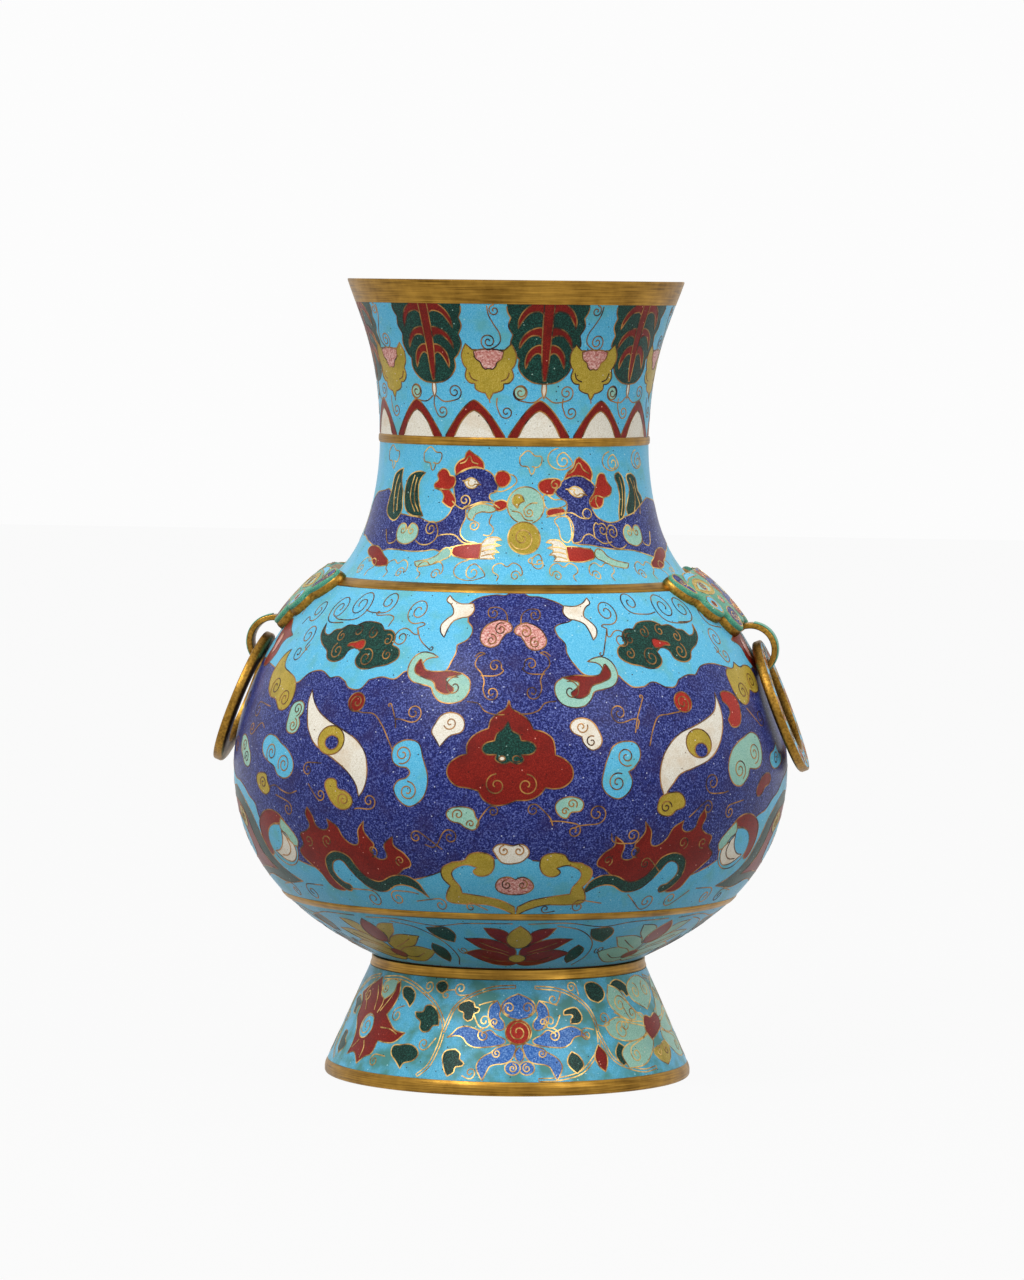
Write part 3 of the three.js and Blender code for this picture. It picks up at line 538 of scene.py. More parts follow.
class Panel:
    """One enamel field: cells of glass and wires, drawn as (azimuth in degrees from the front, height in
    mm), a design that goes round the vase a number of times."""

    def __init__(self, wall, low, high, ground, middle=0, repeats=2):
        self.wall, self.low, self.high, self.ground = wall, low, high, ground
        self.middle, self.turns = middle, [360 / repeats * k for k in range(repeats)]
        self.cells, self.wires, self.depth = [], [], ENAMEL
        self.scale = math.radians(float(wall.at((low + high) / 2, wall.radii)))
        self.start = float(wall.at(low, wall.spread))

    def pens(self):
        """What the panel is drawn with."""
        return self.cell, self.wire, self.curl, self.scroll, self.oval

    def copies(self, curve, twin):
        sides = [curve]
        if twin is not None:
            sides.append(np.stack([-curve[::-1, 0] + twin[0], curve[::-1, 1] + twin[1]], axis=1))
        return [side + (self.middle + turn, 0) for turn in self.turns for side in sides]

    def cell(self, colour, points, twin=None, wired=True):
        """A cell of one glass inside a closed wire; twin is the mirrored cell's shift from true."""
        for copy in self.copies(smooth(points, self.scale), twin):
            self.cells.append((colour, copy))
            if wired:
                self.wires.append((copy, True, len(self.cells)))

    def wire(self, points, twin=None):
        curve = smooth(points, self.scale, closed=False)
        self.wires += [(copy, False, ON_TOP) for copy in self.copies(curve, twin)]

    def curl(self, azimuth, height, size, turns, start):
        """A spiral wire from its rim inwards: turns above 0 wind anticlockwise from the start's
        direction, which is measured in degrees from the right."""
        count, local = max(8, math.ceil(abs(turns) * CURL_POINTS)), self.degree_at(height)
        t = np.linspace(0, 1, count)
        angle, reach = np.radians(start + 360 * turns * t), CURL_SPREAD * size * (1 - CURL_WOUND * t)
        return [(azimuth + r * math.cos(a) / local, height + r * math.sin(a)) for r, a in zip(reach, angle)]

    def scroll(self, tail, azimuth, height, size, turns):
        """A spiral wire that its tail, a list of points, runs into without a bend."""
        across = (tail[-1][0] - azimuth) * self.degree_at(height)
        rise = tail[-1][1] - height
        lean = math.acos(min(1, CURL_SPREAD * size / math.hypot(across, rise)))
        start = math.atan2(rise, across) + math.copysign(lean, turns)
        return tail + self.curl(azimuth, height, size, turns, math.degrees(start))

    def degree_at(self, height):
        """How many millimetres round the vase one degree is, at a height."""
        return math.radians(float(self.wall.at(height, self.wall.radii)))

    def oval(self, azimuth, height, half_width, half_height, count=14):
        """An outline; its half width is in the panel's own unit sideways."""
        angles = np.linspace(0, 2 * math.pi, count + 1)[:-1]
        return [(azimuth + half_width * math.cos(a), height + half_height * math.sin(a)) for a in angles]

    def ring(self, colour, points):
        """Glass above a line that runs round the whole vase, given for the front from -90 to 90."""
        curve = smooth(points, self.scale, closed=False)[:-1]
        around = np.concatenate([curve, curve + (180, 0)]) + (self.middle, 0)
        self.cells.append((colour, around))
        self.wires.append((around, True, len(self.cells)))

    def spot(self, azimuth, height, lift):
        """A place in the frame, in mm; the glass lies as deep as the wires stand proud of it."""
        lift = lift - WIRE_PROUD
        angle = np.radians(azimuth) + VIEW_TURN
        radius = self.wall.at(height, self.wall.radii) + lift * self.wall.at(height, self.wall.out)
        z = height + lift * self.wall.at(height, self.wall.up)
        return np.stack([radius * np.sin(angle), -radius * np.cos(angle), z], axis=1)

    def outward(self, azimuth, height):
        angle, out = np.radians(azimuth) + VIEW_TURN, self.wall.at(height, self.wall.out)
        return np.stack([out * np.sin(angle), -out * np.cos(angle), self.wall.at(height, self.wall.up)],
                        axis=1)

    def skin(self, curve):
        """Places on the ground and polished face, and the directions that it looks there."""
        return self.spot(*curve.T, 0), self.outward(*curve.T)

    def flatten(self, azimuth, height):
        """The wall laid flat without changing its angles, the mouth's side inwards."""
        shrink, turn = np.exp(self.start - self.wall.at(height, self.wall.spread)), np.radians(azimuth)
        return np.stack([shrink * np.cos(turn), shrink * np.sin(turn)], axis=1)

    def unflatten(self, flat):
        spread = self.start - np.log(np.hypot(flat[:, 0], flat[:, 1]))
        return (np.degrees(np.arctan2(flat[:, 1], flat[:, 0])),
                np.interp(spread, self.wall.spread, self.wall.heights))

    def loops(self):
        around = np.linspace(0, 360, EDGE_POINTS + 1)[:-1]
        return [np.stack([around, np.full(EDGE_POINTS, z)], axis=1) for z in (self.low, self.high)]

    def grid(self):
        rows = max(2, round((self.high - self.low) / GRID_HEIGHT))
        spots = []
        for k, z in enumerate(np.linspace(self.low, self.high, rows + 1)[1:-1]):
            around = np.arange(0, 360, GRID_AZIMUTH) + (k % 2) * GRID_AZIMUTH / 2 + GRID_OFFSET
            spots.append(np.stack([around, np.full(len(around), z)], axis=1))
        return np.concatenate(spots)

    def make(self, name, node, slot, wire_metal, wire_width=WIRE_WIDTH, body="vase"):
        """The glass as one closed layer with a slot for each colour, and the wires as one mesh."""
        outer, inner = self.loops()
        outlines = [outer] + [curve for _, curve in self.cells] + [inner]
        spots = np.concatenate(outlines + [self.grid()])
        flat, top, sources = cut_up(self.flatten(*spots.T), outlines, 1e-7, hole=len(outlines) - 1)
        skin, out = self.skin(np.stack(self.unflatten(flat), axis=1))
        top = facing_out(top, skin, out)
        rim, border = rim_of(top)
        under = {v: len(skin) + i for i, v in enumerate(border)}
        walls = [(b, a, under[a], under[b]) for a, b in rim]
        inside = self.grid()[::3]
        edges = [(border.index(a), border.index(b)) for a, b in rim]
        back = self.back(np.concatenate([flat[border], self.flatten(*inside.T)]), edges)
        hidden = walls + [tuple(len(skin) + v for v in face) for face in back]
        points = np.concatenate([skin, skin[border] - out[border] * self.depth,
                                 self.spot(*inside.T, -self.depth)])
        piece = new_piece(name, points, top + hidden)
        mesh = piece.data
        finish_mesh(piece, glasses.values(), [node], body)
        colours = [GLASS_ORDER.index(colour) for colour in [self.ground] + [c for c, _ in self.cells]]
        mesh.polygons.foreach_set("material_index",
                                  [colours[s] for s in sources] + [colours[0]] * len(hidden))
        mesh.polygons.foreach_set("use_smooth", [True] * len(top) + [False] * len(hidden))
        mesh.update()
        normals = np.array([p.normal for p in mesh.polygons for _ in p.loop_indices])
        normals[:3 * len(top)] = out[np.array(top).ravel()]
        mesh.normals_split_custom_set(normals.tolist())
        self.lay_wires(name + "_wires", wire_metal, wire_width, body)

    def seen(self, curve, order):
        """Which points of a wire neither pass the field's edges nor lie under a later cell."""
        seen = (curve[:, 1] > self.low) & (curve[:, 1] < self.high)
        for _, cover in self.cells[order:]:
            seen &= ~covered(curve, cover)
        return seen

    def lay_wires(self, name, metal, width, body):
        gathered = Wires(width)
        for curve, closed, order in self.wires:
            for run, whole in unbroken(curve, self.seen(curve, order), closed):
                gathered.add(*self.skin(run), whole)
        wires = new_piece(name, np.concatenate(gathered.points), gathered.faces)
        finish_mesh(wires, [metal], body=body)

    def back(self, spots, edges):
        """The faces of the layer's hidden back, between its two edges, with no face beyond them."""
        reach = np.hypot(spots[:, 0], spots[:, 1])
        inner, outer = reach.min(), reach.max()
        verts, _, tris, ids, _, _ = delaunay_2d_cdt([Vector(p) for p in spots], edges, [], 0, 1e-7, True)
        faces = []
        for t in tris:
            corner = np.array([verts[v][:2] for v in t])
            middle = math.hypot(*corner.mean(axis=0))
            if np.hypot(corner[:, 0], corner[:, 1]).max() > inner * 1.0001 and middle < outer:
                faces.append([ids[v][0] for v in t[::-1]])
        rim = {frozenset(edge) for edge in edges}
        while True:
            around = [[frozenset(edge) for edge in zip(face, face[1:] + face[:1])] for face in faces]
            shared = Counter(edge for face in around for edge in face)
            kept = [face for face, sides in zip(faces, around)
                    if all(side in rim or shared[side] == 2 for side in sides)]
            if len(kept) == len(faces):
                return faces
            faces = kept


def covered(curve, cell):
    """Which points of a curve lie inside a cell, wherever round the vase the two were counted from."""
    hidden = np.zeros(len(curve), bool)
    (left, bottom), (right, top) = cell.min(axis=0), cell.max(axis=0)
    for turn in (-360, 0, 360):
        x, z = curve[:, 0] + turn, curve[:, 1]
        near = (x > left) & (x < right) & (z > bottom) & (z < top)
        if not near.any():
            continue
        (x1, z1), (x2, z2) = cell.T, np.roll(cell, -1, axis=0).T
        x, z = x[near, None], z[near, None]
        crossed = ((z1 > z) != (z2 > z)) & (x < (x2 - x1) * (z - z1) / (z2 - z1 + 1e-12) + x1)
        hidden[near] |= crossed.sum(axis=1) % 2 == 1
    return hidden


def outline_faces(flat, ends):
    """The outlines as faces that run anticlockwise in the flat."""
    faces = []
    for start, end in zip(ends, ends[1:]):
        here = np.array(flat[start:end])[:, :2]
        following = np.roll(here, -1, axis=0)
        turning = (here[:, 0] * following[:, 1] - here[:, 1] * following[:, 0]).sum()
        faces.append(list(range(start, end))[::1 if turning > 0 else -1])
    return faces


def unbroken(curve, seen, closed):
    """The stretches of a curve that are seen."""
    if seen.all():
        return [(curve, closed)]
    if closed and seen.any():
        first = int(np.argmin(seen))
        curve, seen = np.roll(curve, -first, axis=0), np.roll(seen, -first)
    cuts = np.flatnonzero(np.diff(seen.astype(int))) + 1
    runs = zip(np.split(curve, cuts), np.split(seen, cuts))
    return [(run, False) for run, keep in runs if keep[0] and len(run) > 2]


# The upper neck's enamel: pendant plantain leaves of dark green with red ribs, ochre pendants with a
# pink heart between them, and a row of white peaks with red edges along the band, on turquoise. Spiral
# wires hang between the leaves.
LEAF_AZIMUTHS = (-80, -35, 12, 54, 100, 145, 190, 235)
PENDANT_AZIMUTHS = (-60, -10.5, 33, 77, 122, 167, 212, 257)
PEAK_AZIMUTHS = [-45, -17, 10.5, 38.5, 64] + [64 + 27.9 * k for k in range(1, 9)]
LEAF_FIELD = (306.45, 368.75)
leaf_panel = Panel(vase_wall, *LEAF_FIELD, "turquoise", repeats=1)
cell, wire, curl, scroll, oval = leaf_panel.pens()

for middle in LEAF_AZIMUTHS:
    cell("forest", mirrored([
        (15, 372, CORNER), (15, 365.6), (13.8, 362.4, CORNER), (14.6, 358.4), (13, 354.4, CORNER),
        (13.9, 350), (12.4, 345.6), (10.4, 343, CORNER), (10.6, 339), (8.4, 335), (5, 332.4),
        (1.2, 331.6, CORNER)], middle))
    cell("white", mirrored([(0.8, 331.6, CORNER), (0.9, 328), (0, 324.6, CORNER)], middle))
    for rib in (
            [(1.4, 370), (5, 369.3), (8.6, 366.3), (10.8, 361.5), (11, 357.4, CORNER), (9.3, 361),
                (7, 364.4), (3.6, 365.5), (1.4, 364.3)],
            [(1.3, 357.3), (5, 357.4), (8.5, 354.6), (10.2, 350.8), (10.5, 347.8, CORNER), (8.5, 351.4),
                (6, 354), (3, 354), (1.3, 352.4)],
            [(1.1, 349.2), (4, 349.4), (7, 346.2), (8.1, 341.8), (7.8, 338.8, CORNER), (6.2, 342.6),
                (4.6, 345.2), (3, 346), (1.1, 345)]):
        for side in (1, -1):
            cell("red", placed(rib, middle, side))
    cell("red", mirrored([(1.9, 372, CORNER), (1.8, 352), (1.2, 338), (0.5, 333, CORNER)], middle))
    cell("pale_green", oval(middle - 9.6, 327.6, 2.6, 3.2))
    for turn in (1, -1):
        wire(scroll([(middle + turn * 0.8, 325.6), (middle + turn * 4.4, 323)], middle + turn * 9.6, 327.6,
            3.3, 1.6 * turn))

for k, middle in enumerate(PENDANT_AZIMUTHS):
    cell("ochre", mirrored([
        (6.4, 347.4, CORNER), (9, 350.2, CORNER), (10.9, 345.5), (10.6, 341), (9.2, 338.4, CORNER),
        (9.9, 334.8), (8.2, 332), (6, 331.6, CORNER), (5.6, 329), (3.2, 327.6), (1.6, 327.2, CORNER),
        (0.4, 324.6, CORNER)], middle))
    cell("pink", mirrored([
        (3, 347.6), (6, 346.6, CORNER), (5.2, 343.2), (3.4, 341.6), (2.8, 339.8, CORNER), (1.6, 338.4),
        (0.4, 338.6)], middle))
    for turn in (1, -1):
        wire([(middle + turn * 8.2, 336.8), (middle + turn * 7.2, 334), (middle + turn * 4.8, 332.8)])
    wire([(middle, 324.6), (middle + 0.3, 322.6)])
    side = 1 if k % 2 else -1
    wire(placed([
        (0.2, 370), (0.6, 364), (2.6, 359), (4.6, 354.8), (4.4, 350.6)], middle, side)
        + curl(middle + side * 0.2, 351.3, 3.4, side * -1.7, 270))
    wire([(middle + side * 5, 370)] + curl(middle + side * 2.8, 365.8, 2.4, side * 1.4, 90))

for middle in PEAK_AZIMUTHS:
    cell("red", mirrored([
        (0.3, 323.8, CORNER), (2, 322.8), (5.8, 318.6), (9.8, 312.6), (13.6, 306, CORNER)], middle))
    cell("white", mirrored([(0.2, 319, CORNER), (2.4, 317.6), (6, 313), (9.2, 306, CORNER)], middle))
    wire(scroll([(middle + 9.8, 325), (middle + 9.6, 321.6)], middle + 13.6, 318.4, 2.8, 1.4))
leaf_panel.make("neck_leaf_field", "neck_leaf_enamel", "neck_enamel", brown_wire)

# The lower neck's enamel: two horned blue beasts face each other over a green and an ochre jewel, with
# dark green wings, red manes and paws, and small wire clouds above and below them on turquoise.
BEAST_FIELD = (238.95, 302.35)
beast_panel = Panel(vase_wall, *BEAST_FIELD, "turquoise", middle=4)
cell, wire, curl, _, oval = beast_panel.pens()
cell("lapis", [
    (-29.2, 288.4), (-25.8, 290.3), (-23, 291.8), (-19.5, 292.2), (-15.8, 291.4), (-13, 289.5),
    (-11.3, 286.5), (-10.4, 283), (-11.3, 281, CORNER), (-13.6, 280), (-13.6, 278), (-11.3, 276.4, CORNER),
    (-15, 276.2), (-18, 275.7), (-20.5, 274), (-23.2, 272.6, CORNER), (-23, 269), (-24.2, 265.3),
    (-24.4, 261.5), (-21.8, 258.4), (-17.7, 257.4, CORNER), (-22, 255.6), (-27, 255.3), (-30.4, 253),
    (-34, 253.8), (-38, 253), (-44, 252.6), (-49.5, 253), (-56, 253), (-59, 252.2), (-66, 253.8),
    (-74, 256), (-80, 258), (-86, 259), (-88, 266), (-86, 274), (-80, 278.6), (-74, 279.6), (-71, 280),
    (-66, 280.5), (-60, 272), (-55.8, 270), (-49.5, 269), (-44, 268.4), (-39.5, 266.8), (-35, 266.5),
    (-31.3, 269), (-29.5, 272.4), (-28.4, 277), (-29, 281), (-29.6, 285)])
cell("coral", [
    (-28.7, 288.4, CORNER), (-29.2, 292.2), (-27.6, 295), (-25, 296.8), (-24.4, 299), (-23, 300.4, CORNER),
    (-20.8, 298.6), (-18.5, 297), (-16.7, 294.5), (-16.4, 291.6, CORNER), (-19.5, 292.6), (-23, 292),
    (-26, 290.6)])
wire([(-27, 294), (-24.6, 295), (-22.8, 297.6), (-21.6, 295), (-19, 294)])
cell("coral", [
    (-36.7, 290), (-34.5, 291.5), (-32.2, 290.3), (-31.3, 288.4, CORNER), (-29, 287.6), (-29, 283.8),
    (-31.3, 281.8, CORNER), (-30.4, 280.7), (-28.5, 278.4), (-28, 275.3), (-29.5, 273.2, CORNER),
    (-31.7, 274.2), (-34, 276, CORNER), (-33.5, 278.6), (-35, 281), (-38.2, 282.2, CORNER), (-38.6, 284),
    (-36.7, 286.2), (-37.3, 288.4)])
wire([(-38, 282.4), (-34, 281.8), (-31.6, 281.8)])
cell("coral", [
    (-11.8, 288), (-10.5, 290.5), (-8, 290.9), (-6, 289.6), (-5.3, 287), (-7, 284), (-9.5, 283.4),
    (-11.3, 285.6)])
wire([(-5.6, 289.5), (-3.5, 288.4), (-2.8, 286), (-4.6, 283.8), (-6.6, 282.4), (-9, 281.4), (-12, 281.6)])
cell("coral", [
    (-11.6, 276.6, CORNER), (-8.4, 277.4), (-6.2, 275.6), (-7.4, 273.4), (-10.4, 272.4), (-12, 274)])
cell("pale_green", [
    (-21.4, 273.2), (-17.4, 275.4), (-13.2, 274.8), (-11, 273), (-13, 271.6), (-16.4, 271.8), (-19, 270.6),
    (-20.6, 267.8), (-22.4, 269.6)])
cell("white", [
    (-24.8, 285.6, CORNER), (-22.4, 287.4), (-20, 286.8), (-18.2, 284.8, CORNER), (-20.4, 282.8),
    (-23, 283)])
wire([(-25.6, 286)] + oval(-21.5, 285.2, 1.5, 1.5)[5:] + [(-17.4, 284.4)])
wire([(-29.5, 276.5), (-26.8, 274), (-24.4, 273)] + curl(-24, 277, 2.7, 1.5, 270))
wire([(-24, 273.2), (-20.5, 275), (-17, 276.4), (-13, 276), (-9.5, 273.6)])
wire([(-12.4, 270.6), (-13.4, 267), (-11.6, 264), (-13, 261), (-15.4, 261.2)])
wire(curl(-19.4, 265.4, 2.2, -1.3, 20)[::-1] + [(-21.8, 268.6)])
for wing, ribs in (
        ([(-43.6, 289.2, CORNER), (-46.3, 289.9), (-49.5, 289.4), (-52.6, 287.6), (-54.5, 283.8),
            (-54.7, 279), (-54, 275.3), (-52.2, 271.5), (-47.6, 269), (-42.2, 269, CORNER), (-44, 272),
            (-45.6, 276), (-46.5, 280), (-46.7, 283.8), (-45.8, 286.6)],
            [[(-49.5, 288), (-50.8, 283), (-50.6, 277), (-47, 271)], [(-48, 287), (-48.8, 282), (-48, 276),
            (-45, 271)]]),
        ([(-57.2, 291, CORNER), (-59.5, 290.3), (-63, 288), (-64.2, 284.5), (-64.5, 280.7), (-65.4, 276),
            (-65.4, 270.7), (-62.2, 267.6), (-58, 266.4), (-55.4, 269), (-54.5, 272.2), (-55.4, 276),
            (-55.8, 280), (-57.2, 283), (-57.8, 286.8)],
            [[(-60, 288), (-61.6, 283), (-61.6, 277), (-60, 270)], [(-58.6, 284), (-59, 278), (-58, 271)]]),
        ([(42.8, 288.8), (45.4, 290.4, CORNER), (47.8, 287.7), (48.7, 283), (47.8, 276.9), (46, 270.8),
            (42.4, 267.2, CORNER), (43, 272.3), (44.6, 278.5), (44.2, 283.8)],
            [[(45.6, 288), (46.8, 283), (46, 276), (44, 270)]]),
        ([(50.5, 288.5), (54.2, 289.6, CORNER), (57.8, 286.9), (58.7, 281.5), (61.5, 277.7), (60.5, 270.8),
            (56, 267.3), (49.6, 268.5), (47.8, 272.3), (49.6, 276.9), (51.9, 282.3)],
            [[(53, 287.4), (55.4, 282), (55, 275.6), (52.4, 270.4)], [(56, 286), (57, 280), (58.6, 275),
            (57.4, 270.4)]])):
    cell("forest", wing)
    for rib in ribs:
        wire(rib)
cell("lapis", [
    (16.9, 286.9), (20.5, 288.5), (25.1, 288.6), (29.6, 286.2), (31.5, 283), (30.5, 278.5),
    (28.7, 275.4, CORNER), (29.6, 272), (31.8, 269), (36.5, 267), (41, 267.4), (46, 269.4), (52, 271),
    (58, 274), (66.5, 277.5), (71.5, 277), (74.5, 276.6), (80.5, 275.6), (86.5, 271), (88.5, 263),
    (86.5, 256), (80.5, 255), (74.5, 253), (66.5, 250.8), (59.5, 249.8), (53, 251.6), (46.4, 253.6),
    (42, 254.2), (36, 254.6), (30.5, 255.6), (25, 256.8), (20.5, 257.2), (18.6, 258.4), (19.2, 261),
    (19.8, 264.8), (18.6, 269), (16.9, 270.6, CORNER), (17.6, 273), (17.8, 276.4), (16, 278), (13.3, 280.8),
    (14.2, 283.4)])
cell("coral", [
    (16.9, 286.9, CORNER), (18.7, 290.4), (21.5, 293.1), (22.4, 296.2), (24.2, 297.6, CORNER),
    (26.9, 295.6), (29.2, 293.1), (30.5, 289.4), (29.6, 286.2, CORNER), (25.1, 288.6), (20.5, 288.5)])
wire([(19, 289.6), (21.6, 291.4), (24, 294.8), (26, 291.8), (28.8, 289.8)])
cell("coral", [
    (6, 284.2), (7.8, 286.8), (11.5, 287.6), (15.1, 287), (15.6, 284.6), (13.3, 282.3), (11.9, 280),
    (7.8, 280.8)])
wire(curl(13.2, 284.6, 2, 1.1, 90))
cell("turquoise", [
    (8.7, 280), (12.4, 277.9), (16.6, 277.6), (17.6, 275.6), (14.2, 274), (9.6, 273.6), (8.3, 276.2)])
cell("coral", [(9.2, 272.2), (11, 273.6), (16, 273.5), (16.9, 271.9), (13.3, 270.4), (9.6, 270.4)])
wire([(9, 269.6), (14, 271.2), (19.6, 271.6), (23.3, 269.4), (26, 268.8)])
wire(oval(26.5, 271.2, 2, 2.3) + [(28.5, 271.2)])
cell("coral", [
    (33.7, 289.4), (36.5, 289.6), (38, 286.2), (40.4, 283, CORNER), (39.4, 280), (35.5, 278.5, CORNER),
    (34.4, 275), (31.5, 273.5), (28.7, 274.6), (28.3, 277.7), (30.5, 280.6), (31.9, 284.6)])
wire([(28.6, 276.6), (31.5, 279.4), (35.5, 278.5)])
wire([(31.7, 279.2), (31.2, 276.6), (32.2, 274)])
cell("white", [
    (18.7, 282.3, CORNER), (21.5, 283.9), (24.6, 282.7), (26.5, 280.4, CORNER), (23.7, 278.8), (20.5, 280)])
wire([(17.6, 282.6)] + oval(22.8, 281.3, 1.5, 1.5)[5:] + [(27.4, 279.6)])
cell("turquoise", [
    (12.4, 268.5), (17.4, 269.6), (18.8, 264.6), (18.4, 260), (16.4, 258), (14.2, 260), (13.7, 264.6)])
wire([(18.6, 257.6), (22, 258.4), (24, 261), (26.4, 261.7), (29, 259.6), (31.9, 257.4), (36, 258)])
wire([(28.4, 260.4), (28.6, 264.6), (30, 267)] + curl(32.6, 263.6, 2.8, -1.4, 130))
cell("pale_green", [
    (-54.4, 262.5), (-53, 265), (-50.6, 265), (-49, 262.8, CORNER), (-47, 265.5), (-44.4, 264.5),
    (-43, 261.5), (-44, 258), (-47, 256), (-50.6, 256.2), (-53.6, 258.4)], (0, 0))
wire(curl(-51.2, 262.2, 1.8, -1.2, 60), (0, 0))
wire(curl(-46.6, 262.2, 1.8, 1.2, 120), (0, 0))
wire([
    (-43.2, 257.6), (-40.4, 256), (-37, 256.2), (-34.4, 258.6), (-34, 262.4)]
    + curl(-37.3, 263.4, 3, 1.5, 60), (0, -1))
wire([(-34, 260), (-31.3, 260.9), (-26.7, 260.8), (-23, 257.6), (-19.5, 256.8)])
wire([(-62, 262), (-58, 256), (-54.4, 256.4), (-53.4, 258.6)], (0, 0))
cell("coral", [
    (-25.8, 255.6), (-22.5, 256.4), (-19.5, 257), (-15.8, 257.2, CORNER), (-15.4, 253.8),
    (-16.2, 250.3, CORNER), (-20.4, 250), (-23.4, 250.6), (-26.2, 251.8), (-26.6, 253.8)], (0, -1))
cell("white", [
    (-15.7, 257.2, CORNER), (-13.5, 259.8), (-10, 260.2), (-8.2, 259, CORNER), (-10.8, 258),
    (-8.4, 256.4, CORNER), (-10.8, 255.4), (-9, 253.2, CORNER), (-11.4, 252.8), (-10.4, 250.4, CORNER),
    (-15.9, 250.2, CORNER)], (0, -1))
for height in (256.6, 254.4, 252.2):
    wire([(-15.4, height - 0.8), (-12.6, height + 0.2), (-10.4, height + 0.2)], (0, -1))
cell("red", [
    (-70, 252.2), (-68.5, 253.9), (-64, 254), (-60.4, 252.7), (-56.7, 250), (-53, 247.6),
    (-52.6, 245.7, CORNER), (-56.7, 245), (-60.4, 245.7), (-64, 248.4), (-67.6, 250)], (0, 0))
cell("pale_green", [
    (-27, 253.5), (-28.5, 255), (-30.5, 254), (-32, 251.5), (-35, 249.5), (-40.5, 248, CORNER), (-39, 246),
    (-35, 246.5), (-32, 247.5), (-29, 249.5), (-27, 251)], (0, 0))
cell("pale_green", oval(0.9, 275.1, 7.4, 8.6))
cell("ochre", [
    (-4.4, 276.5), (-3.4, 279.8), (-0.8, 279.6), (0.4, 277, CORNER), (-1.6, 275.8), (-2.4, 273.6, CORNER)])
wire([(5.6, 276.2), (3, 276), (0.2, 273.4)] + curl(2.2, 271.8, 2, 1.4, 180))
wire([(-4.6, 272.4), (-1.4, 271.6), (0.6, 268.6), (3.6, 268)])
cell("ochre", oval(0.1, 260, 6.1, 7.4))
wire(curl(-0.6, 260, 5, 1.6, 200))
for azimuth, side in (
        (-47.6, 1), (-33.4, 1), (-6, 1), (13.6, -1), (27.8, -1), (47.6, -1), (62, 1), (-64, -1)):
    cloud = [
        (5.2, 244.4), (4.4, 247.2), (2, 248.6), (0, 246.8), (-2.2, 248.4), (-4.6, 247), (-4.6, 244.4),
        (-2.8, 242.8), (-3.2, 240.4)]
    wire(curl(azimuth + side * 2.8, 242.8, 2.2, 1.4 * side, 0 if side > 0 else 180)[::-1]
        + placed(cloud, azimuth, side))
for azimuth, height, half_width, half_height in (
        (-18.4, 245, 5.8, 4.6), (4, 249.6, 2.6, 1.6), (16, 296.8, 5.8, 5.1), (41, 295.6, 5, 4.5),
        (60, 296.2, 4.8, 4.5)):
    wire(oval(azimuth, height, half_width, half_height)[4:] + curl(azimuth + 1, height - 1, 3.4, 1.3, 80))
for azimuth, height in ((-40.6, 296.5), (-66, 296.5), (2.8, 295.5)):
    wire([
        (azimuth - 4.4, height + 2), (azimuth - 4, height - 1.8), (azimuth - 1, height - 2.6),
        (azimuth + 0.6, height - 6), (azimuth + 2, height - 3)])
    wire([
        (azimuth - 4.4, height + 2), (azimuth - 1, height + 5), (azimuth + 2, height + 2.6),
        (azimuth + 4.8, height + 2), (azimuth + 3.6, height - 2.4), (azimuth + 0.6, height - 2.4)])
beast_panel.make("neck_beast_field", "neck_beast_enamel", "neck_enamel", bright_wire)

# The body's enamel: a monster mask spread over each side, with white horns, slanting eyes, a red flower
# for its nose, flames and tusks, on a scalloped lapis field between turquoise grounds. Clouds, buds and
# spiral wires fill the grounds, and a large cloud lies under each handle, where the two masks meet.
BODY_FIELD = (87.95, 235.05)
body_panel = Panel(vase_wall, *BODY_FIELD, "turquoise")
cell, wire, curl, scroll, oval = body_panel.pens()
body_panel.ring("lapis", [
    (-90, 150), (-84, 146.5), (-80, 143), (-75, 142), (-71.5, 139.5), (-69, 136), (-66, 133), (-65, 127),
    (-62, 118), (-55, 110), (-48, 106), (-40, 103), (-30, 102), (-22, 103.5), (-17.5, 106), (-14, 109),
    (-10, 113), (0, 115), (10, 113), (14.5, 110), (18, 106.5), (21, 103), (30, 102), (40, 103), (48, 108),
    (54, 116), (60.5, 127), (62.5, 130.4), (66, 132.4), (69.4, 137), (73, 140), (77, 145), (84, 149),
    (90, 150)])
body_panel.ring("turquoise", [
    (-90, 196), (-84, 199), (-76, 198), (-68, 196), (-60, 192), (-55, 191.4), (-52, 196), (-48, 197.6),
    (-44.4, 194.6, CORNER), (-42, 195.5), (-39.6, 193.6, CORNER), (-38.2, 191), (-35, 190.6),
    (-33.2, 195, CORNER), (-30, 196.6), (-26.7, 196), (-24.3, 199.7), (-20, 198), (-15, 200.5),
    (-14, 204.5), (-13.2, 208.5), (-13.2, 212, CORNER), (-10.6, 215), (-9.9, 219), (-11.4, 222.4, CORNER),
    (-11.8, 226), (-12.6, 229.8, CORNER), (-9.6, 233), (-5, 234.4), (-1, 235), (-0.6, 240, CORNER),
    (3.4, 240, CORNER), (3.8, 234.8), (8, 233.6), (12.4, 231.4), (16.2, 227.6, CORNER), (15.6, 223.6),
    (11, 220.6), (11.2, 217), (12.9, 213), (13, 209), (14.2, 204.5), (17, 199), (23.8, 199.8),
    (25.8, 196, CORNER), (27.6, 193.5), (30.4, 193.5, CORNER), (33, 195.5), (36, 193, CORNER), (38.6, 193),
    (40.4, 196.2, CORNER), (43.4, 198), (46, 197.8, CORNER), (49, 201.6), (53.4, 202.3), (57, 201),
    (62, 199), (70, 197.5), (78, 199), (84, 198), (90, 196)])
horn_shift, small_shift = (3.4, -0.6), (0.4, -1.3)
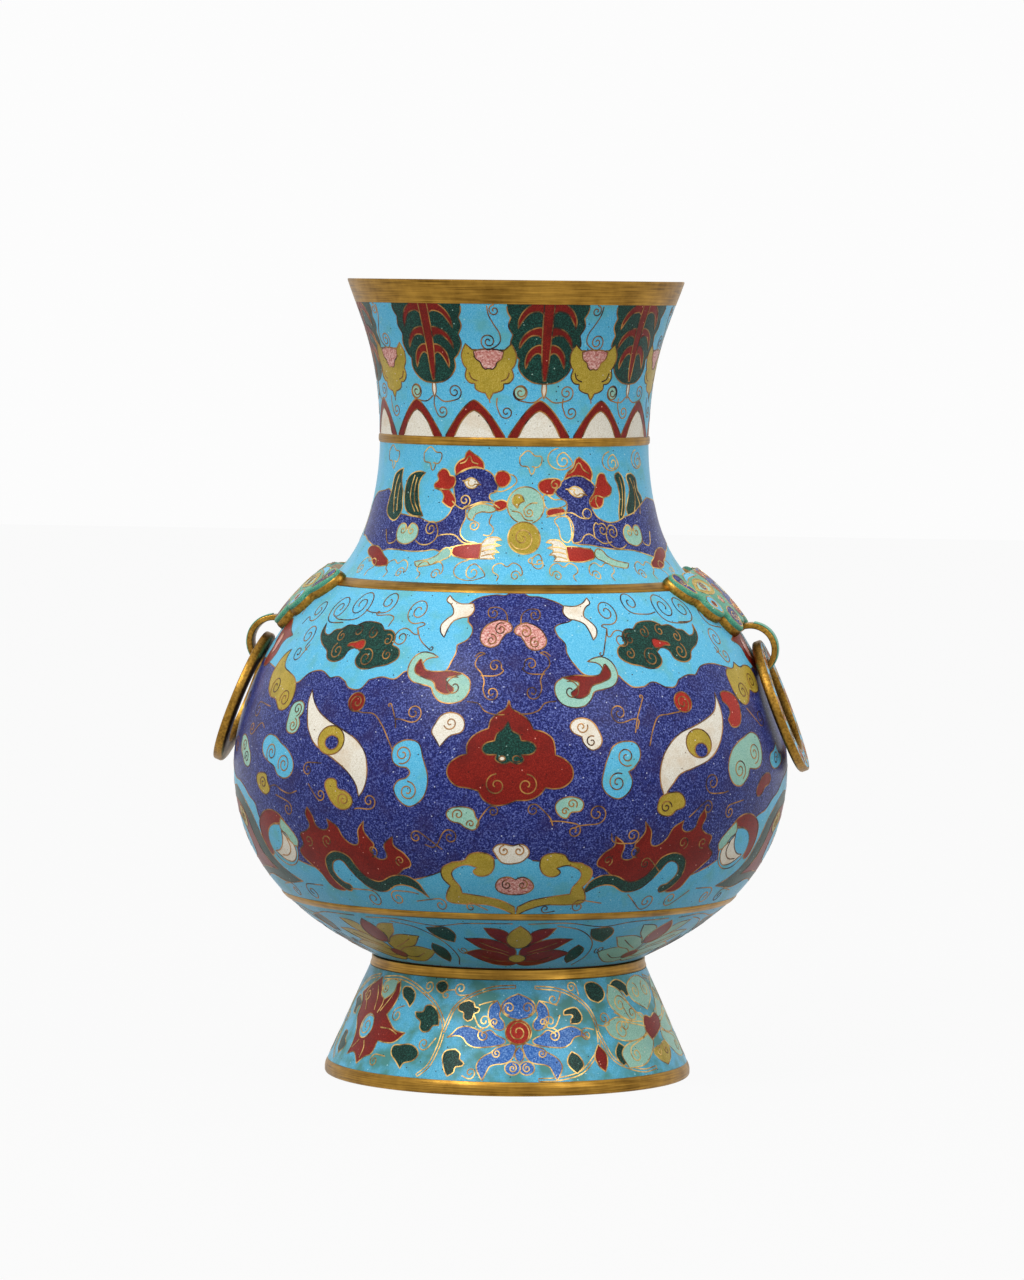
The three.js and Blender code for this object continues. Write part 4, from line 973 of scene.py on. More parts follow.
cell("white", [
    (-18.4, 233.8, CORNER), (-16.6, 231.6), (-14.2, 230.2), (-10.9, 230.4, CORNER), (-10.3, 227.6),
    (-11.4, 224.8), (-13.4, 224), (-15.4, 222.3), (-16.3, 219), (-16.8, 215.2, CORNER), (-18, 217.6),
    (-18.3, 220.6), (-17.1, 223.5), (-15.8, 226), (-17, 229.6), (-18.8, 231.6)], horn_shift)
cell("pink", [
    (-5, 222.5), (-2.9, 223.4), (-0.5, 221.8), (0, 219.2), (-1.6, 217.4, CORNER), (-2.4, 215.2),
    (-3.4, 212.3), (-5.4, 211.4), (-7.3, 213.3), (-7.8, 216.6), (-6.8, 220.2)], (0.6, -1.2))
wire(curl(-2.8, 219.4, 2.6, 1.4, 60), (0.6, -1.2))
wire(curl(-5, 214.6, 2.3, -1.3, 100), (0.6, -1.2))
wire([(-1.2, 222.4), (-1.6, 226.4), (-3.6, 228.8), (-6, 228.6)] + curl(-4.9, 226.4, 2.4, 1.1, 160),
    (1, -0.6))
wire([
    (-6.2, 208.4), (-7.8, 206.8), (-8.3, 203.3), (-6.8, 199.8), (-6, 196), (-6.2, 193)]
    + curl(-4.2, 191, 3, 1.4, 200), (0.4, 0.6))
wire([(-6.2, 208.4), (-7.4, 208.9), (-8.6, 207)], (0.4, 0.6))
wire([(-6.9, 198.6), (-3.4, 198.8), (-1.8, 201)] + curl(-3.8, 203, 2.8, 1.3, -20), (0.6, 1))
wire([(-9.4, 187), (-7, 186.2), (-5.6, 183), (-3.4, 181.4), (-1.4, 181.4)], (0.2, 0.5))
cell("pale_green", [
    (-17.2, 206.4, CORNER), (-19, 208), (-21.4, 208.3), (-23.4, 205.4), (-24, 199.8), (-22.6, 195.6),
    (-20, 194), (-17.8, 192.8), (-17, 189.8), (-15.4, 186.8), (-12.8, 186), (-10.3, 187.9), (-9.1, 192.3),
    (-9.3, 196.6), (-11, 199.4, CORNER), (-14, 200.4), (-17, 200), (-19.6, 200.6), (-20.6, 203.3),
    (-19.6, 205.6)], small_shift)
cell("red", [
    (-21.5, 205.2), (-22.3, 200), (-20, 197.2), (-17.5, 195.4), (-16.4, 191.8), (-14.2, 190), (-12.6, 192),
    (-13.8, 194.4), (-14.6, 196.8), (-12.6, 198.2), (-11, 199.3, CORNER), (-14, 200.4), (-17, 200),
    (-19.6, 200.6), (-20.7, 203.3)], small_shift)
wire(curl(-12.6, 193.4, 4, 1.2, 70), small_shift)
cell("forest", [
    (-55.2, 218.8, CORNER), (-54.8, 214), (-52.5, 209.8), (-49.2, 206.6), (-48, 203.4), (-45.4, 202),
    (-42.8, 203.8), (-42, 207.3), (-40, 208.8), (-38.2, 207.2, CORNER), (-38.8, 203.3), (-37.2, 200.2),
    (-34.8, 199.7), (-32.4, 201, CORNER), (-29.6, 202.2), (-27.3, 205.4), (-27.6, 209),
    (-29.8, 211, CORNER), (-29.7, 214.5), (-31.3, 217.3), (-33.6, 217.4, CORNER), (-35.4, 219.9),
    (-38.3, 220.8), (-41.2, 220.4), (-43.2, 218.6, CORNER), (-45.8, 218.7), (-47.8, 216.7, CORNER),
    (-50, 216), (-51.4, 213.7), (-53.6, 214.8)], (-1.5, 1.8))
cell("coral", [
    (-43, 209.8), (-40.8, 211.4), (-38.2, 212.4), (-37.8, 209.2), (-39.6, 208.4), (-41.3, 209.4)],
    (-1.5, 2.2))
for azimuth, height, size, turn in (
        (-45.6, 207, 3.4, 1.4), (-36, 204.6, 3.8, -1.5), (-46.4, 213.6, 2.4, 1.2),
        (-41.6, 216.4, 2.4, -1.2), (-36.4, 216, 2.6, 1.3), (-31.6, 213, 2.4, -1.2),
        (-30.4, 206.6, 2.3, 1.2)):
    wire(curl(azimuth, height, size, turn, 120), (-1.5, 1.8))

cell("white", [
    (-48.8, 188.8, CORNER), (-47.5, 184.8), (-45, 179.8), (-41.7, 176), (-37.5, 172.3), (-33.3, 167.9),
    (-30.8, 162.3), (-30, 156), (-30, 149.8), (-30.8, 144.8), (-31.8, 141.6, CORNER), (-32.5, 147.3),
    (-34.6, 152.9), (-37.5, 157.3), (-40.8, 161), (-44.2, 164.8), (-46.7, 171), (-48, 177.3),
    (-48.9, 183.5)])
cell("white", [
    (50.4, 189.4, CORNER), (50.8, 181), (50, 173.5), (47.5, 164.8), (44.2, 159.2), (40, 156), (36.3, 153.4),
    (34.2, 148.5), (32.4, 143.6, CORNER), (31.6, 148.5), (31.4, 154.8), (32.5, 162.3), (34.6, 167.9),
    (37.6, 172.3), (41.3, 174.8), (45.4, 177.9), (48.4, 181), (49.7, 184.8)])
for azimuth, height, pupil_azimuth, pupil_height in ((-39.7, 166.8, -39.4, 165.8), (42, 167, 42.4, 163.8)):
    cell("ochre", oval(azimuth, height, 3.5, 6.6))
    cell("lapis", oval(pupil_azimuth, pupil_height, 1.8, 3.3))
cell("red", [
    (-0.5, 188, CORNER), (0.1, 184.4), (2.1, 181.8), (3.8, 178.5), (4.6, 174.9, CORNER), (6.7, 173.7),
    (8.4, 171), (8.9, 167.3), (9, 163.5, CORNER), (10.8, 161.6), (12.3, 157.9), (12.4, 152.9),
    (10.8, 149.1), (8.8, 148), (7, 148.5, CORNER), (5.8, 145.2), (3.8, 142.9), (1.2, 142.6, CORNER),
    (-1, 140.6), (-3.4, 140.3), (-5.4, 142.9), (-6.4, 146.8, CORNER), (-8.3, 147.9), (-10.9, 149),
    (-12.6, 153.5), (-12.4, 158.5), (-10.4, 162.3), (-8.8, 163.5, CORNER), (-8.9, 167.3), (-8, 171),
    (-6.4, 173.6), (-4.6, 175.2, CORNER), (-4.2, 179), (-2.6, 182.2), (-1.1, 184.4)])
cell("forest", [
    (-0.6, 178.4, CORNER), (0.2, 174.4), (1.7, 172.4), (2.1, 169.9, CORNER), (4.2, 169.1), (5.1, 166.6),
    (4.3, 164), (2.1, 163.4, CORNER), (2.6, 161), (1.4, 159.3), (-0.1, 160.3, CORNER), (-1.4, 159.3),
    (-3, 161), (-2.9, 163.4, CORNER), (-5, 163.6), (-5.8, 166), (-5.1, 168.5), (-3.3, 169.7, CORNER),
    (-2.9, 172.7), (-1.7, 174.8)])
cell("white", oval(-1.7, 161.7, 0.6, 1.1, 8))
wire(oval(1.2, 161.6, 0.8, 1.4, 9))
for azimuth, size, turn in ((-2.8, 4.6, 1.4), (3.2, 4.6, -1.4)):
    wire(curl(azimuth, 149.5, size, turn, 90))
cell("ochre", [
    (-64.6, 205.6, CORNER), (-64.8, 201.6), (-63.6, 197.6), (-60, 195.3), (-56.7, 192.8), (-55, 188.5),
    (-54.9, 182.3), (-56.3, 178.9), (-58.8, 178.2), (-60.5, 180.8), (-62, 182.8), (-65, 183.7),
    (-67.6, 187.3), (-68.9, 192.9), (-68.4, 198.5), (-66.8, 203)])
wire(curl(-63.8, 188.2, 4.2, -1.6, 240))
wire(curl(-58, 183.4, 3.8, -1.6, 200))
cell("ochre", [
    (58, 198.6), (61.8, 199.6), (63.4, 202, CORNER), (65.4, 199.6), (68.4, 200), (71.8, 198.4),
    (72.6, 193.5), (71.3, 188.6), (68.3, 187.2), (65.8, 189, CORNER), (64.6, 186.8), (62.9, 183.7),
    (60.4, 182.8), (58.4, 186), (57.6, 192.3)])
wire(curl(62, 188.8, 4, 1.6, -60))
wire(curl(68.6, 192.8, 3.6, -1.6, 240))
cell("red", oval(-35, 184.8, 2.1, 4.3))
wire(curl(-34.8, 184.6, 3.4, -1.3, 260))
wire([(-34.6, 180.6), (-32.6, 180.2), (-30, 179.8), (-27.6, 175), (-25.8, 169), (-24.4, 163.6)])
cell("coral", oval(39.8, 186, 2.4, 4.6))
wire(curl(39.6, 185.6, 3.4, 1.3, -60))
wire([(38.6, 181.8), (35, 180.8), (32.4, 179.8), (30.6, 174), (29.4, 166.8)])
cell("pale_green", [
    (-52, 183.2), (-50.2, 182.2), (-49.6, 178.6), (-50.6, 175.8, CORNER), (-49.8, 172.6), (-50.4, 169.2),
    (-52.2, 168.2), (-54, 170), (-54.3, 175), (-54, 181)])
wire(curl(-51.8, 179.4, 2.8, 1.4, 280))
wire(curl(-52, 172, 2.8, -1.4, 80))
cell("coral", [
    (52.4, 189), (55.4, 189.2), (57.9, 186), (58, 179.8), (56.4, 174.2), (53.4, 173.3),
    (52.4, 176.6, CORNER), (53.8, 179.8), (53.8, 182.3), (52.2, 185.4, CORNER)])
cell("turquoise", [
    (-60.4, 166.2), (-57.5, 166), (-55, 163.5), (-52, 160.4), (-50, 156), (-49.9, 151), (-52, 147.4),
    (-55, 148.4), (-56.4, 152), (-58.8, 154), (-61.4, 157.3), (-62.2, 162.3)])
wire(curl(-58, 158.4, 4, -1.7, 230))
wire(curl(-53, 153.6, 4.2, -1.7, 210))
cell("pale_green", [
    (56.6, 167.9), (60, 169.9), (62.6, 167.9), (63.5, 162.9), (63, 156), (60.9, 153.1),
    (57.6, 153.5, CORNER), (56.8, 149.8), (54.2, 145.9), (51.3, 147.8), (50, 154.8), (51.6, 162.3),
    (54.2, 166)])
wire(curl(53.9, 153.4, 4.4, 1.7, -60))
wire(curl(60, 160.4, 4.4, 1.7, -90))
cell("pale_green", [
    (-75, 163.6), (-71.7, 163), (-69.5, 159), (-67.7, 154.8), (-68.2, 150.4), (-70.8, 150.2), (-73, 154),
    (-75.3, 158.5)])
wire(curl(-72.4, 159, 3, -1.4, 230))
wire(curl(-70.2, 154, 2.8, -1.4, 200))
cell("turquoise", [
    (68, 158.5), (70.6, 160.4), (72.4, 163.2, CORNER), (73.6, 159), (76, 156), (73.6, 152.4), (69.6, 151.6),
    (67.4, 155)])
wire(curl(71.4, 156, 3, 1.4, 0))
cell("white", [
    (-16, 176), (-14.3, 181), (-11.4, 181.5), (-9.7, 177.9), (-10.1, 173.5), (-12.5, 171.4),
    (-14.5, 166.4, CORNER), (-15.5, 169.8), (-16.4, 172.9)])
wire(curl(-12.6, 177.2, 2.8, 1.3, 200))
cell("white", [
    (12.4, 177.3), (14.2, 179.9), (16.8, 178.6), (18.4, 173.5), (18.7, 168.5), (16.8, 165.5), (15, 168.3),
    (14.6, 171.6, CORNER), (12.6, 174)])
wire(curl(14.7, 176, 2.6, -1.3, 20))
wire(curl(16.6, 169.4, 2.4, 1.2, 60))
cell("turquoise", [
    (-24.4, 164.8), (-23, 167.9), (-20.8, 169), (-18.8, 167.3), (-17.8, 161), (-16.7, 153.5),
    (-16.8, 147.3), (-17.9, 142), (-20.4, 138.6), (-22.6, 141), (-23.8, 146), (-23, 150),
    (-21.2, 151.6, CORNER), (-20.4, 154), (-21.2, 156.4), (-22.6, 156.6), (-24.2, 159)])
cell("turquoise", [
    (23.8, 169.2), (26.4, 167.9), (27, 162.3), (25.5, 157.3), (24.2, 155.4, CORNER), (25, 151), (24.2, 146),
    (22, 143.1), (19.6, 145.4), (18.5, 149.8), (18.9, 156), (19.9, 162.3), (21.3, 167.3)])
for azimuth, height, size, turn, start in (
        (-22.2, 162.4, 3.9, 1.6, 250), (-20.9, 145.6, 4, -1.6, 90), (23.9, 162.4, 4, -1.6, -60),
        (21.8, 150.6, 4, 1.6, 60)):
    wire(curl(azimuth, height, size, turn, start))
cell("ochre", [
    (-63.9, 146.6), (-62, 148.2), (-59.5, 147.9), (-59.1, 144.8), (-58.2, 141), (-60, 138.3), (-62, 139.6),
    (-63.7, 142.9)])
wire(curl(-61, 143.6, 2.8, -1.4, 200))
wire([(-58.6, 142), (-56, 143.4), (-53.6, 141.4), (-51, 140.4), (-48.6, 142)])
cell("ochre", [
    (-40.3, 146.6), (-39.2, 149.2), (-37.4, 148.6), (-37, 145), (-35, 143.8), (-33.4, 140.4),
    (-34.2, 136.4), (-36.4, 135.4), (-38.4, 137.9), (-39.7, 142.3)])
wire(curl(-35.6, 139.8, 3, -1.4, 220))
cell("ochre", [
    (31.8, 143.4), (35, 145.2), (37, 143.5), (37.6, 138.7), (35.5, 136.6), (34.2, 134.4), (32, 134.8),
    (30.9, 138)])
wire(curl(33, 138.4, 2.8, 1.4, 0))
cell("red", [
    (60.7, 143.5), (62.8, 148.5), (65.4, 150.2), (67.4, 148.5), (67, 145.2), (64.6, 143.6), (63, 140.4),
    (60.9, 140.2)])
cell("pale_green", [
    (-12.8, 136), (-11.7, 138.6), (-9.2, 139.2), (-7.4, 137.9), (-6.9, 134.8), (-6.2, 131.6), (-7.3, 128.6),
    (-8.9, 129.6), (-10, 131.4), (-12, 132.7)])
cell("pale_green", [
    (9.1, 141), (10.8, 143.9), (13.4, 143.9), (14.7, 141.4), (14.2, 137.9), (12.2, 137), (11.3, 134.3),
    (9.5, 136.6)])
for azimuth, height, size, turn, start in (
        (-10.4, 135.6, 2.4, -1.3, 210), (-7.9, 131.4, 1.7, -1.2, 200), (12.4, 141, 2.2, 1.3, -40),
        (11, 137.6, 1.6, 1.2, 20)):
    wire(curl(azimuth, height, size, turn, start))

flame_shift = (-2.6, 1.4)
cell("red", [
    (-50.8, 112.9), (-48.9, 117), (-49.1, 121.6), (-47, 123.6), (-45.6, 126.4), (-46.4, 131.4),
    (-45.7, 135, CORNER), (-44.4, 131), (-43.6, 126.4), (-41.6, 124.8), (-40.2, 126.6),
    (-40.4, 130.2, CORNER), (-37.9, 127), (-36.6, 122), (-34.6, 119), (-33, 119.8), (-32.6, 126),
    (-31, 130.6, CORNER), (-31.2, 126), (-30, 122), (-29.2, 119.6), (-30, 116), (-28.6, 112.9),
    (-26.6, 114), (-26.8, 119.8), (-24.6, 124.2, CORNER), (-24.6, 119.8), (-22.4, 116), (-21.3, 111),
    (-23.2, 108.6), (-25, 105.6), (-30, 101), (-36, 100), (-39.5, 97.2), (-41.8, 95.6), (-44.7, 97.3),
    (-46.4, 103.5), (-48.5, 107.3)], flame_shift)
for azimuth, height, size, turn in (
        (-29.8, 116.6, 2.6, 1.2), (-23.6, 112.6, 2.2, -1.2), (-46.8, 119, 2.4, 1.2),
        (-41.2, 119.6, 2.8, -1.3)):
    wire(curl(azimuth, height, size, turn, 250), flame_shift)
cell("turquoise", [
    (-43, 104), (-41.8, 110), (-39.5, 113), (-37.4, 111), (-35.8, 106), (-34, 101), (-32, 97.4),
    (-36, 94.6), (-40, 96)], flame_shift, wired=False)
cell("forest", [
    (-43.4, 109.8), (-41.7, 113.5), (-39.2, 115), (-36.3, 112.9), (-35, 108.5), (-33.3, 104), (-30, 101.8),
    (-26.3, 105), (-22.9, 105.4), (-20.4, 102.3), (-19.5, 98.5), (-18.6, 95, CORNER), (-20.4, 97.9),
    (-22.9, 100.4), (-25.8, 100.4), (-29.2, 97), (-32.9, 97.9), (-35.4, 102.3), (-37, 106.6),
    (-38.3, 110.4), (-39.6, 111), (-41.3, 109), (-41.9, 104.8), (-40.4, 100.4), (-38.4, 98.5),
    (-39.2, 95.8), (-41.7, 97.8), (-43.5, 103)], flame_shift)
tusk_shift = (-1.2, 0.8)
cell("red", [
    (-65.2, 110.6), (-66, 117), (-65.2, 124.8), (-62, 129.9), (-58.8, 131.4), (-55.8, 130),
    (-53.8, 126.4, CORNER), (-56.3, 125.4), (-58.8, 124.6), (-61.2, 121.4), (-62.4, 116), (-62.6, 110.4),
    (-64, 108.8)], tusk_shift)
cell("turquoise", oval(-57.2, 115, 5.6, 9.8), tusk_shift)
cell("pale_green", [
    (-55.2, 128.2, CORNER), (-52.4, 123.6), (-50.6, 118.5), (-51.2, 115.2, CORNER), (-52.9, 116),
    (-54.3, 120.4), (-56, 122.9), (-55.8, 126)], tusk_shift)
cell("white", [
    (-56, 122, CORNER), (-54.2, 118.5), (-52.5, 115.4), (-52.8, 111), (-54.9, 107.5), (-58, 107.8),
    (-61.4, 111.4, CORNER), (-59, 112.3), (-57, 115.4), (-56.2, 118.5)], tusk_shift)
wire([(-54.6, 119), (-54.2, 114), (-56, 110.4), (-58.8, 109.8)], tusk_shift)

FRAME_MIDDLE = 1.6
cell("turquoise", mirrored([
    (0, 116.5), (6, 112), (13, 111), (14, 104), (12.6, 98), (4, 95), (0.6, 91.4)], FRAME_MIDDLE),
    wired=False)
frame_scroll = [
    (7.4, 118), (5.2, 116), (4.8, 111.6), (5.8, 107.8), (7.9, 106.6), (9.3, 108.6), (8.4, 110.8, CORNER),
    (10.6, 112), (12.6, 110.8), (14, 108), (13.7, 104.8), (12.5, 101.2), (12.2, 98, CORNER), (7.5, 96.6),
    (3.5, 94.8), (0.4, 91.6, CORNER), (0, 87, CORNER), (3, 90.2), (7, 92.5), (12.6, 92.6), (15.9, 94),
    (15.7, 98), (14.7, 101.4, CORNER), (16.2, 105.4), (16.1, 109.8), (13.7, 113, CORNER), (11, 114.2),
    (9.9, 117)]
for side in (1, -1):
    cell("ochre", placed(frame_scroll, FRAME_MIDDLE, side))
cell("white", [
    (-2.9, 117.3), (-3.4, 119.8), (-2, 122.1), (0.5, 121.4, CORNER), (2.6, 122.1), (4, 119), (3.6, 116),
    (2, 113.4), (-1.4, 113.2)])
cell("pink", [
    (-3, 102.3), (-2.1, 105.4), (-0.2, 106.4), (1.3, 105.2, CORNER), (3, 106.4), (4.9, 104), (5.3, 101),
    (3.4, 98.2), (0, 97.8), (-2.5, 99.5)])
for azimuth, height, size, turn in (
        (-1.1, 119, 2.3, 1.3), (1.9, 119, 2.3, -1.3), (-0.5, 102.6, 2.2, 1.3), (2.9, 102.6, 2.2, -1.3)):
    wire(curl(azimuth, height, size, turn, 90))

CLOUD_MIDDLE = 90
for colour, cloud in (
        ("forest", [(0, 141), (5, 138), (10.4, 139), (16.6, 134.5), (21, 127.6), (23.6, 118), (26, 108),
            (29.6, 102), (34.6, 97.6, CORNER), (26, 95.6), (18, 98), (9, 95.6), (0, 93.4)]),
        ("red", [(0, 134), (6, 132.4), (12, 131), (16.8, 125), (18.6, 116), (20.4, 108),
            (24.6, 101.6, CORNER), (16, 101.6), (8, 99.6), (0, 98)]),
        ("turquoise", [(0, 126), (6, 125), (11.4, 122), (13.6, 115.6), (13, 108), (7, 104), (0, 103)]),
        ("pink", [(0, 117), (4, 118.6), (7.4, 115), (6, 110), (2.6, 108.8), (0, 110.4)])):
    cell(colour, mirrored(cloud, CLOUD_MIDDLE))
for side in (1, -1):
    cell("ochre", placed([
        (10, 128.6), (13, 129), (15.6, 125.4), (15.4, 121), (13, 120), (10.6, 123.4)], CLOUD_MIDDLE, side))
    wire(curl(CLOUD_MIDDLE + side * 13, 124.6, 2.8, 1.3 * side, 90))
    wire(curl(CLOUD_MIDDLE + side * 4, 113.6, 2.6, 1.3 * side, 90))
    cell("red", placed([
        (10, 218), (13.4, 217), (17.4, 213.6), (21, 211.6, CORNER), (17, 208), (16.6, 202), (13, 196.4),
        (8.6, 198), (9.6, 205), (7.6, 211)], CLOUD_MIDDLE, side))
    cell("pink", placed([(11.4, 211), (13.6, 210), (14, 205), (12, 202), (10.8, 206)], CLOUD_MIDDLE, side))
    wire(curl(CLOUD_MIDDLE + side * 8, 180, 4.4, 1.5 * side, 200))
    wire(curl(CLOUD_MIDDLE + side * 10, 158, 4, -1.5 * side, 160))

for azimuth, height, size, turn, *tail in (
        (-63.3, 224, 4.6, 1.6, (-67.6, 217), (-66.4, 220.4)), (-53.6, 225.6, 5.6, -1.9, (-48.6, 219.6)),
        (-46, 228, 6, 1.9, (-53, 221.6), (-51, 220.8)), (-36.6, 230, 4.4, 1.5, (-43, 226), (-41, 225)),
        (-38, 224.8, 0.9, -1, (-33, 219), (-32.6, 223.4)),
        (-25.8, 226.6, 5, -1.7, (-24.4, 219), (-22.8, 221)),
        (-28, 214.4, 3.8, 1.5, (-24.4, 219), (-24, 216)),
        (-19.4, 210.4, 1, 0.8, (-24.4, 219), (-22.8, 214)),
        (-60, 212.6, 4.4, 1.5, (-57, 206), (-58.4, 207.4)), (-60.4, 204.4, 3.2, -1.3, (-57, 208.6)),
        (35, 231, 4.4, -1.5, (42, 226.4), (39.6, 225.6)), (46.2, 228.4, 6, -1.9, (53.6, 221.6), (51, 221)),
        (53.4, 227.6, 5.2, 1.7, (48.6, 221.6)), (63, 224, 4.4, -1.6, (67.4, 217.6)),
        (60.6, 213.4, 4.4, -1.5, (57.4, 207), (59, 208)), (61, 205.4, 3, 1.3, (57.6, 209.4)),
        (26, 227, 4.8, 1.7, (24.6, 219.6), (23.4, 221)),
        (27.6, 214.6, 3.8, -1.5, (24.6, 219.6), (24.4, 216)),
        (21.4, 208.6, 1, -0.8, (24.6, 219.6), (23, 213)), (-79, 227, 4.6, 1.6, (-73, 221)),
        (79, 227, 4.6, -1.6, (73, 221)), (-45.2, 152.6, 2.8, 1.4, (-41.4, 156)),
        (-29.4, 140, 3.2, 1.4, (-33, 136), (-32, 136.4)),
        (-20.8, 181.2, 3.7, 1.5, (-24.4, 175), (-24.6, 178)),
        (-26.6, 184, 0.9, 0.8, (-24.4, 174), (-24.8, 178)),
        (-3.4, 137.4, 2.4, -1.4, (-6.8, 130), (-6, 134)), (4.6, 138.2, 2.6, 1.4, (8.6, 131), (8, 134.6)),
        (13, 128.4, 3, -1.4, (8, 133), (10, 133)), (17.6, 136.4, 4.2, 1.5, (13, 130), (14.6, 131)),
        (23.2, 182, 3.9, -1.5, (27, 174.6), (27.4, 179)), (29, 189, 0.9, 1, (26.4, 173), (27.4, 180)),
        (25.8, 125.6, 3.2, 1.4, (21, 127), (21.6, 123)),
        (-12.2, 125, 3.2, -1.4, (-17.6, 121), (-15.6, 120)), (-19.4, 124.4, 2.6, 1.3, (-14, 119)),
        (45, 148.6, 4.4, -1.5, (50, 144), (48.6, 143.4)), (-69, 176.4, 3.4, 1.4, (-63, 179)),
        (-69.6, 168, 2.8, -1.3, (-63, 169), (-65, 171)), (66.4, 176, 3.6, 1.5, (61, 181)),
        (-33.4, 92.8, 3.6, -1.5, (-39, 97)), (-26.6, 94, 3.2, 1.4, (-21, 96.6), (-22.6, 97.4)),
        (-16.2, 91.6, 2.8, -1.3, (-22, 93)), (-54, 92.6, 3.6, 1.5, (-48, 97)), (-9, 91, 2, 1.2, (-5, 89.6)),
        (16.4, 91.6, 2.8, 1.3, (22, 93)), (34, 92.8, 3.6, 1.5, (28, 97)), (41, 93.4, 3.2, -1.4, (46, 97)),
        (53.6, 93, 3.6, -1.5, (48, 97.6)), (60.6, 92, 3, 1.4, (65, 94)), (-62.6, 92, 3, -1.4, (-67, 94.4)),
        (8.6, 90.6, 1.8, -1.1, (11, 89.4)), (-41.6, 141.4, 2.6, 1.3, (-45, 146)),
        (44, 137, 3, -1.4, (39, 133)), (51, 134, 3, 1.4, (55.6, 139)), (-52, 133, 3, -1.4, (-56, 139)),
        (30, 112, 2.4, 1.3, (34, 108))):
    wire(scroll(tail, azimuth, height, size, turn))
body_panel.make("body_mask_field", "body_mask_enamel", "body_enamel", brown_wire)

# The bowl's enamel, under the belly: eight open lotus flowers of several colours seen from the side, 45
# degrees apart, with dark leaves and stems of wire between them, on turquoise.
BOWL_FIELD = (57.4, 84.45)
bowl_panel = Panel(vase_wall, *BOWL_FIELD, "turquoise", repeats=1)
cell, wire, curl, _, oval = bowl_panel.pens()
LOTUS_GLASSES = ("red", "pale_green", "bright_blue", "white", "red", "ochre", "bright_blue", "ochre")
FIRST_LOTUS, LOTUS_STEP = 3, 45
for k, colour in enumerate(LOTUS_GLASSES):
    middle = FIRST_LOTUS + LOTUS_STEP * k
    heart = "red" if colour in ("ochre", "white", "pale_green") else "ochre"
    for side in (1, -1):
        for petal in (
                [(0, 60.5), (7, 59.6), (13, 62.4), (17.6, 66.4, CORNER), (12, 68.4), (6, 67.4), (0.5, 65)],
                [(1, 65), (6, 67), (11.4, 69), (15.6, 74.4, CORNER), (9.6, 74.6), (5, 72.6), (1, 69)],
                [(1, 69.4), (4.6, 72.4), (8, 76), (9.6, 80.4, CORNER), (5, 79.6), (2.2, 76.4), (0.6, 73)]):
            cell(colour, placed(petal, middle, side))
        wire(placed([(2, 62), (7, 62), (12, 64.6)], middle, side))
        wire(placed([(3, 67), (7.6, 69.6), (11.4, 72.4)], middle, side))
    cell(heart, mirrored([(0, 81.6, CORNER), (2.6, 78), (3.6, 74), (2.4, 70.6), (0, 69.4)], middle))
    cell(heart, oval(middle, 63.4, 3, 2.2))
    between = middle + LOTUS_STEP / 2
    wire([(middle + 9.6, 81.6), (between - 6, 79), (between, 72), (between + 2, 64), (between, 59)])
    wire([(middle + 2, 82.6), (middle + 12, 83), (between, 80.6), (between + 8, 82.4), (middle + 43, 82.8)])
    cell("forest", [
        (between - 3, 79.4, CORNER), (between + 2.6, 80), (between + 4.6, 76.4),
        (between + 3.4, 72, CORNER), (between, 73.6), (between - 2, 76)])
    cell("forest", [
        (between - 4, 71, CORNER), (between - 1, 68), (between - 1, 63.4), (between - 3, 60.4, CORNER),
        (between - 5.4, 63.4), (between - 5.6, 67.6)])
    wire(curl(between + 5, 67.6, 2, 1.4, 160))
bowl_panel.make("bowl_lotus_field", "bowl_lotus_enamel", "bowl_enamel", brown_wire)

# The foot's enamel: lotus flowers of bright blue, pale green and red, 60 degrees apart, held by scrolling
# stems with dark, lobed leaves and a red bud on a greener turquoise. Gilt wires curl between them.
FOOT_FIELD = (6.65, 51.85)
foot_panel = Panel(foot_wall, *FOOT_FIELD, "teal")
cell, wire, curl, scroll, oval = foot_panel.pens()
BLUE_LOTUS, GREEN_LOTUS, RED_LOTUS, STEM_HALF_WIDTH = 4, 64, -57, 0.65


def scroll_stem(panel, points):
    """A stem: two gilt wires 1.3 mm apart with the ground's glass between them."""
    route = smooth(points, panel.scale, closed=False)
    place = route * (panel.scale, 1)
    lean = np.gradient(place, axis=0)
    lean /= np.hypot(lean[:, 0], lean[:, 1])[:, None]
    aside = np.stack([-lean[:, 1] / panel.scale, lean[:, 0]], axis=1) * STEM_HALF_WIDTH
    outline = np.concatenate([route + aside, (route - aside)[::-1]])
    for copy in panel.copies(outline, None):
        panel.cells.append((panel.ground, copy))
        panel.wires.append((copy, True, len(panel.cells)))


for route in (
        [(-60, 48.8), (-50, 50), (-41.7, 48.4), (-35, 45), (-29.4, 41), (-25.8, 36.3), (-23.4, 30.8),
            (-23.4, 25), (-24.8, 17), (-26.4, 12), (-29.6, 7.8)],
        [(-23, 28), (-21.6, 34.7), (-20.4, 38.6), (-17.5, 42.4), (-12.5, 45.8), (-5.8, 48.4), (3, 49.2)],
        [(10.8, 48.8), (18.3, 48), (24.2, 45.8), (29.2, 41.9), (32, 37.6), (33.3, 31.9), (33.4, 26.3),
            (32.5, 21), (29.2, 15.8), (24.2, 10.4), (16.7, 7.9), (10, 7.6)],
        [(33.4, 28), (35.4, 20.6), (37.5, 15.2), (41.7, 11.6), (49, 8.8), (56, 9.4)],
        [(72, 49.6), (80, 47), (86, 43), (91, 38), (95, 30), (97, 22), (99, 14), (104, 9)],
        [(94, 36), (100, 42), (107, 47), (116, 49.6)]):
    scroll_stem(foot_panel, route)
